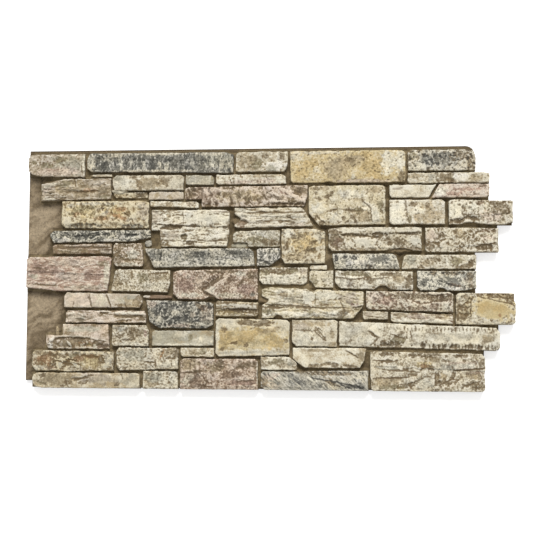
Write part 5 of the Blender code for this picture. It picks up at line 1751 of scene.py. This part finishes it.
def sheet_paint(x, y, light, gap):
    """Colour and masks of mortar or flange, from how light the smears are and how near the stones."""
    top_strip = smooth((y - (SIZE[1] - TOP_STRIP)) / 4)
    light = light * (1 - top_strip)
    colours = PAINT["mortar"] * (1 - light[:, None]) + PAINT["mortar_light"] * light[:, None]
    # Near the stones the paint turns to sepia: a wash, and painted shade from the stones beside it.
    near = (1 - smooth((gap - 2.0) / NEAR_STONES)) * (0.85 + 0.6 * (rough(x, y, 22, 61, 3) - 0.5))
    colours = (colours * (1 - NEAR_STONES_WASH_AND_SHADE * near[:, None])
               + PAINT["sepia"] * NEAR_STONES_WASH_AND_SHADE * near[:, None])
    in_joint = (1 - smooth((gap - 5.0) / 4.0))[:, None]
    patchy = smooth((rough(x, y, 40, 71, 4, 0.6) - 0.3) / 0.4)[:, None]
    patchy = np.maximum(patchy, top_strip[:, None])
    joint = PAINT["joint"] * (1 - patchy) + PAINT["joint_light"] * patchy
    colours = colours * (1 - in_joint) + joint * in_joint
    # The wash mask is fuller near the stones as well: wash and painted shade.
    wash_and_shade = 0.1 + 0.4 * near + 0.4 * (0.5 - light)
    proud = 0.35 * light * (1 - near)
    return colours, wash_and_shade, proud


def bridge_paint(x, y, colours, wash_and_shade):
    """The colours and the mask of wash and painted shade, with the bridges' blotched paint laid over."""
    for bridge in BRIDGES:
        share = bridge_share(x, y, bridge)
        blotch = 0.7 + 0.6 * rough(x, y, 11, 95, 4, 0.65)[:, None]
        colours = colours * (1 - share[:, None]) + PAINT[bridge[5]] * blotch * share[:, None]
        wash_and_shade = wash_and_shade * (1 - share)
    return colours, wash_and_shade


print("paint gets darker within", NEAR_STONES, "mm of a stone")

# %% [markdown]
# ## The two sheets
# A sheet is filled like a stone's face, with a wider grid, and only where it can be seen. A skirt
# goes down from its outline, so that no gap shows between it and the body below.

# %% Build the sheets
SHEET_GRID = 3.0
SHEET_RINGS = (1.5,)


def sheet(outline, is_bed):
    """A dense sheet of mortar or flange inside an outline: points, heights, faces, colours, masks."""
    loop = walk(outline, SHEET_GRID)
    points, triangles = fill(loop, SHEET_GRID, SHEET_RINGS, 77 if is_bed else 78)
    x, y = points.T
    if is_bed:
        hidden = under_stones(points, 2.5)
    else:
        hidden = inside(points, bed_loop) & (edge_distance(points, bed_loop) > 2.0)
    triangles = triangles[~hidden[triangles].all(axis=1)]
    gap = gap_to_stones(points)
    wave, light = smears(x, y)
    if is_bed:
        heights = bed_heights(x, y, edge_distance(points, loop), gap)
        colours, wash_and_shade, proud = sheet_paint(x, y, light, gap)
        colours, wash_and_shade = bridge_paint(x, y, colours, wash_and_shade)
        on_rim = (edge_distance(loop, plate_loop) < 0.4) | ~inside(loop, plate_loop)
        down_to = np.where(on_rim, FOOT, FLANGE - 1.5)
    else:
        for at_x, at_y, wide, high, change in SMUDGES:
            reach = np.hypot((x - at_x) / wide, (y - at_y) / high)
            light = np.clip(light + change * (1 - smooth(reach)), 0, 1)
        heights = flange_heights(points, wave)
        colours, wash_and_shade, proud = sheet_paint(x, y, light, gap)
        down_to = np.full(len(loop), FLANGE - 1.6)
    count = len(loop)
    heights[:count] = np.maximum(heights[:count], down_to + 0.2)
    faces = np.concatenate([triangles, side_faces(count, len(points), 1)])
    return (np.concatenate([points, loop]), np.concatenate([heights, down_to]), faces,
            np.concatenate([colours, colours[:count]]), np.concatenate([wash_and_shade, wash_and_shade[:count]]),
            np.concatenate([proud, np.zeros(count)]))


bed = sheet(bed_loop, True)
flange = sheet(plate_loop, False)
print("bed", len(bed[2]), "triangles, flange", len(flange[2]), "triangles")

# %% [markdown]
# ## The body of the moulding
# The body of the moulding, below the bed, keeps its moulded faces: the flat back, the edges of the
# plate and the rebates behind the tabs and the lip, where the next panel's flange goes under.

# %% Body of the moulding


def body_below(level):
    """The moulding's own faces up to a level, without the flange's top."""
    cut = bmesh.new()
    cut.from_mesh(moulding.data)
    bmesh.ops.remove_doubles(cut, verts=cut.verts, dist=1e-6)
    everything = list(cut.verts) + list(cut.edges) + list(cut.faces)
    bmesh.ops.bisect_plane(cut, geom=everything, plane_co=(0, 0, level * MM), plane_no=(0, 0, 1),
                           clear_outer=True)
    tops = [face for face in cut.faces if face.normal.z > 0.9]
    bmesh.ops.delete(cut, geom=tops, context="FACES_ONLY")
    bmesh.ops.triangulate(cut, faces=cut.faces)
    cut.verts.ensure_lookup_table()
    places = np.array([vertex.co[:] for vertex in cut.verts])
    faces = np.array([[vertex.index for vertex in face.verts] for face in cut.faces])
    cut.free()
    return places, faces


places, faces = body_below(FOOT + 0.001)
body = ((places[:, :2] - CORNER[:2]) / MM, (places[:, 2] - CORNER[2]) / MM, faces,
        np.tile(PAINT["mortar"], (len(places), 1)), np.full(len(places), 0.25), np.zeros(len(places)))
print("body", len(faces), "triangles")

# %% [markdown]
# Body, bed and flange are one material, so they become one piece. Their points are strung together,
# and each part's triangles are moved up by the number of points before it. This piece and all the
# stones take the moulding's place.

# %% Join and replace
parts = (body, bed, flange)
joined = []
offset = 0
for part in parts:
    joined.append(part[2] + offset)
    offset += len(part[0])
points, heights, _, colours, wash_and_shade, proud = (np.concatenate(column) for column in zip(*parts))
mortar = mesh_piece("mortar_and_flange", points, heights, np.concatenate(joined), colours, wash_and_shade,
                    proud, MATERIALS["mortar"])
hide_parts("stone_panel")
for piece in pieces:
    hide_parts("stone_panel")
print("mortar", len(mortar.data.polygons), "triangles; all",
      triangles_so_far + len(mortar.data.polygons))
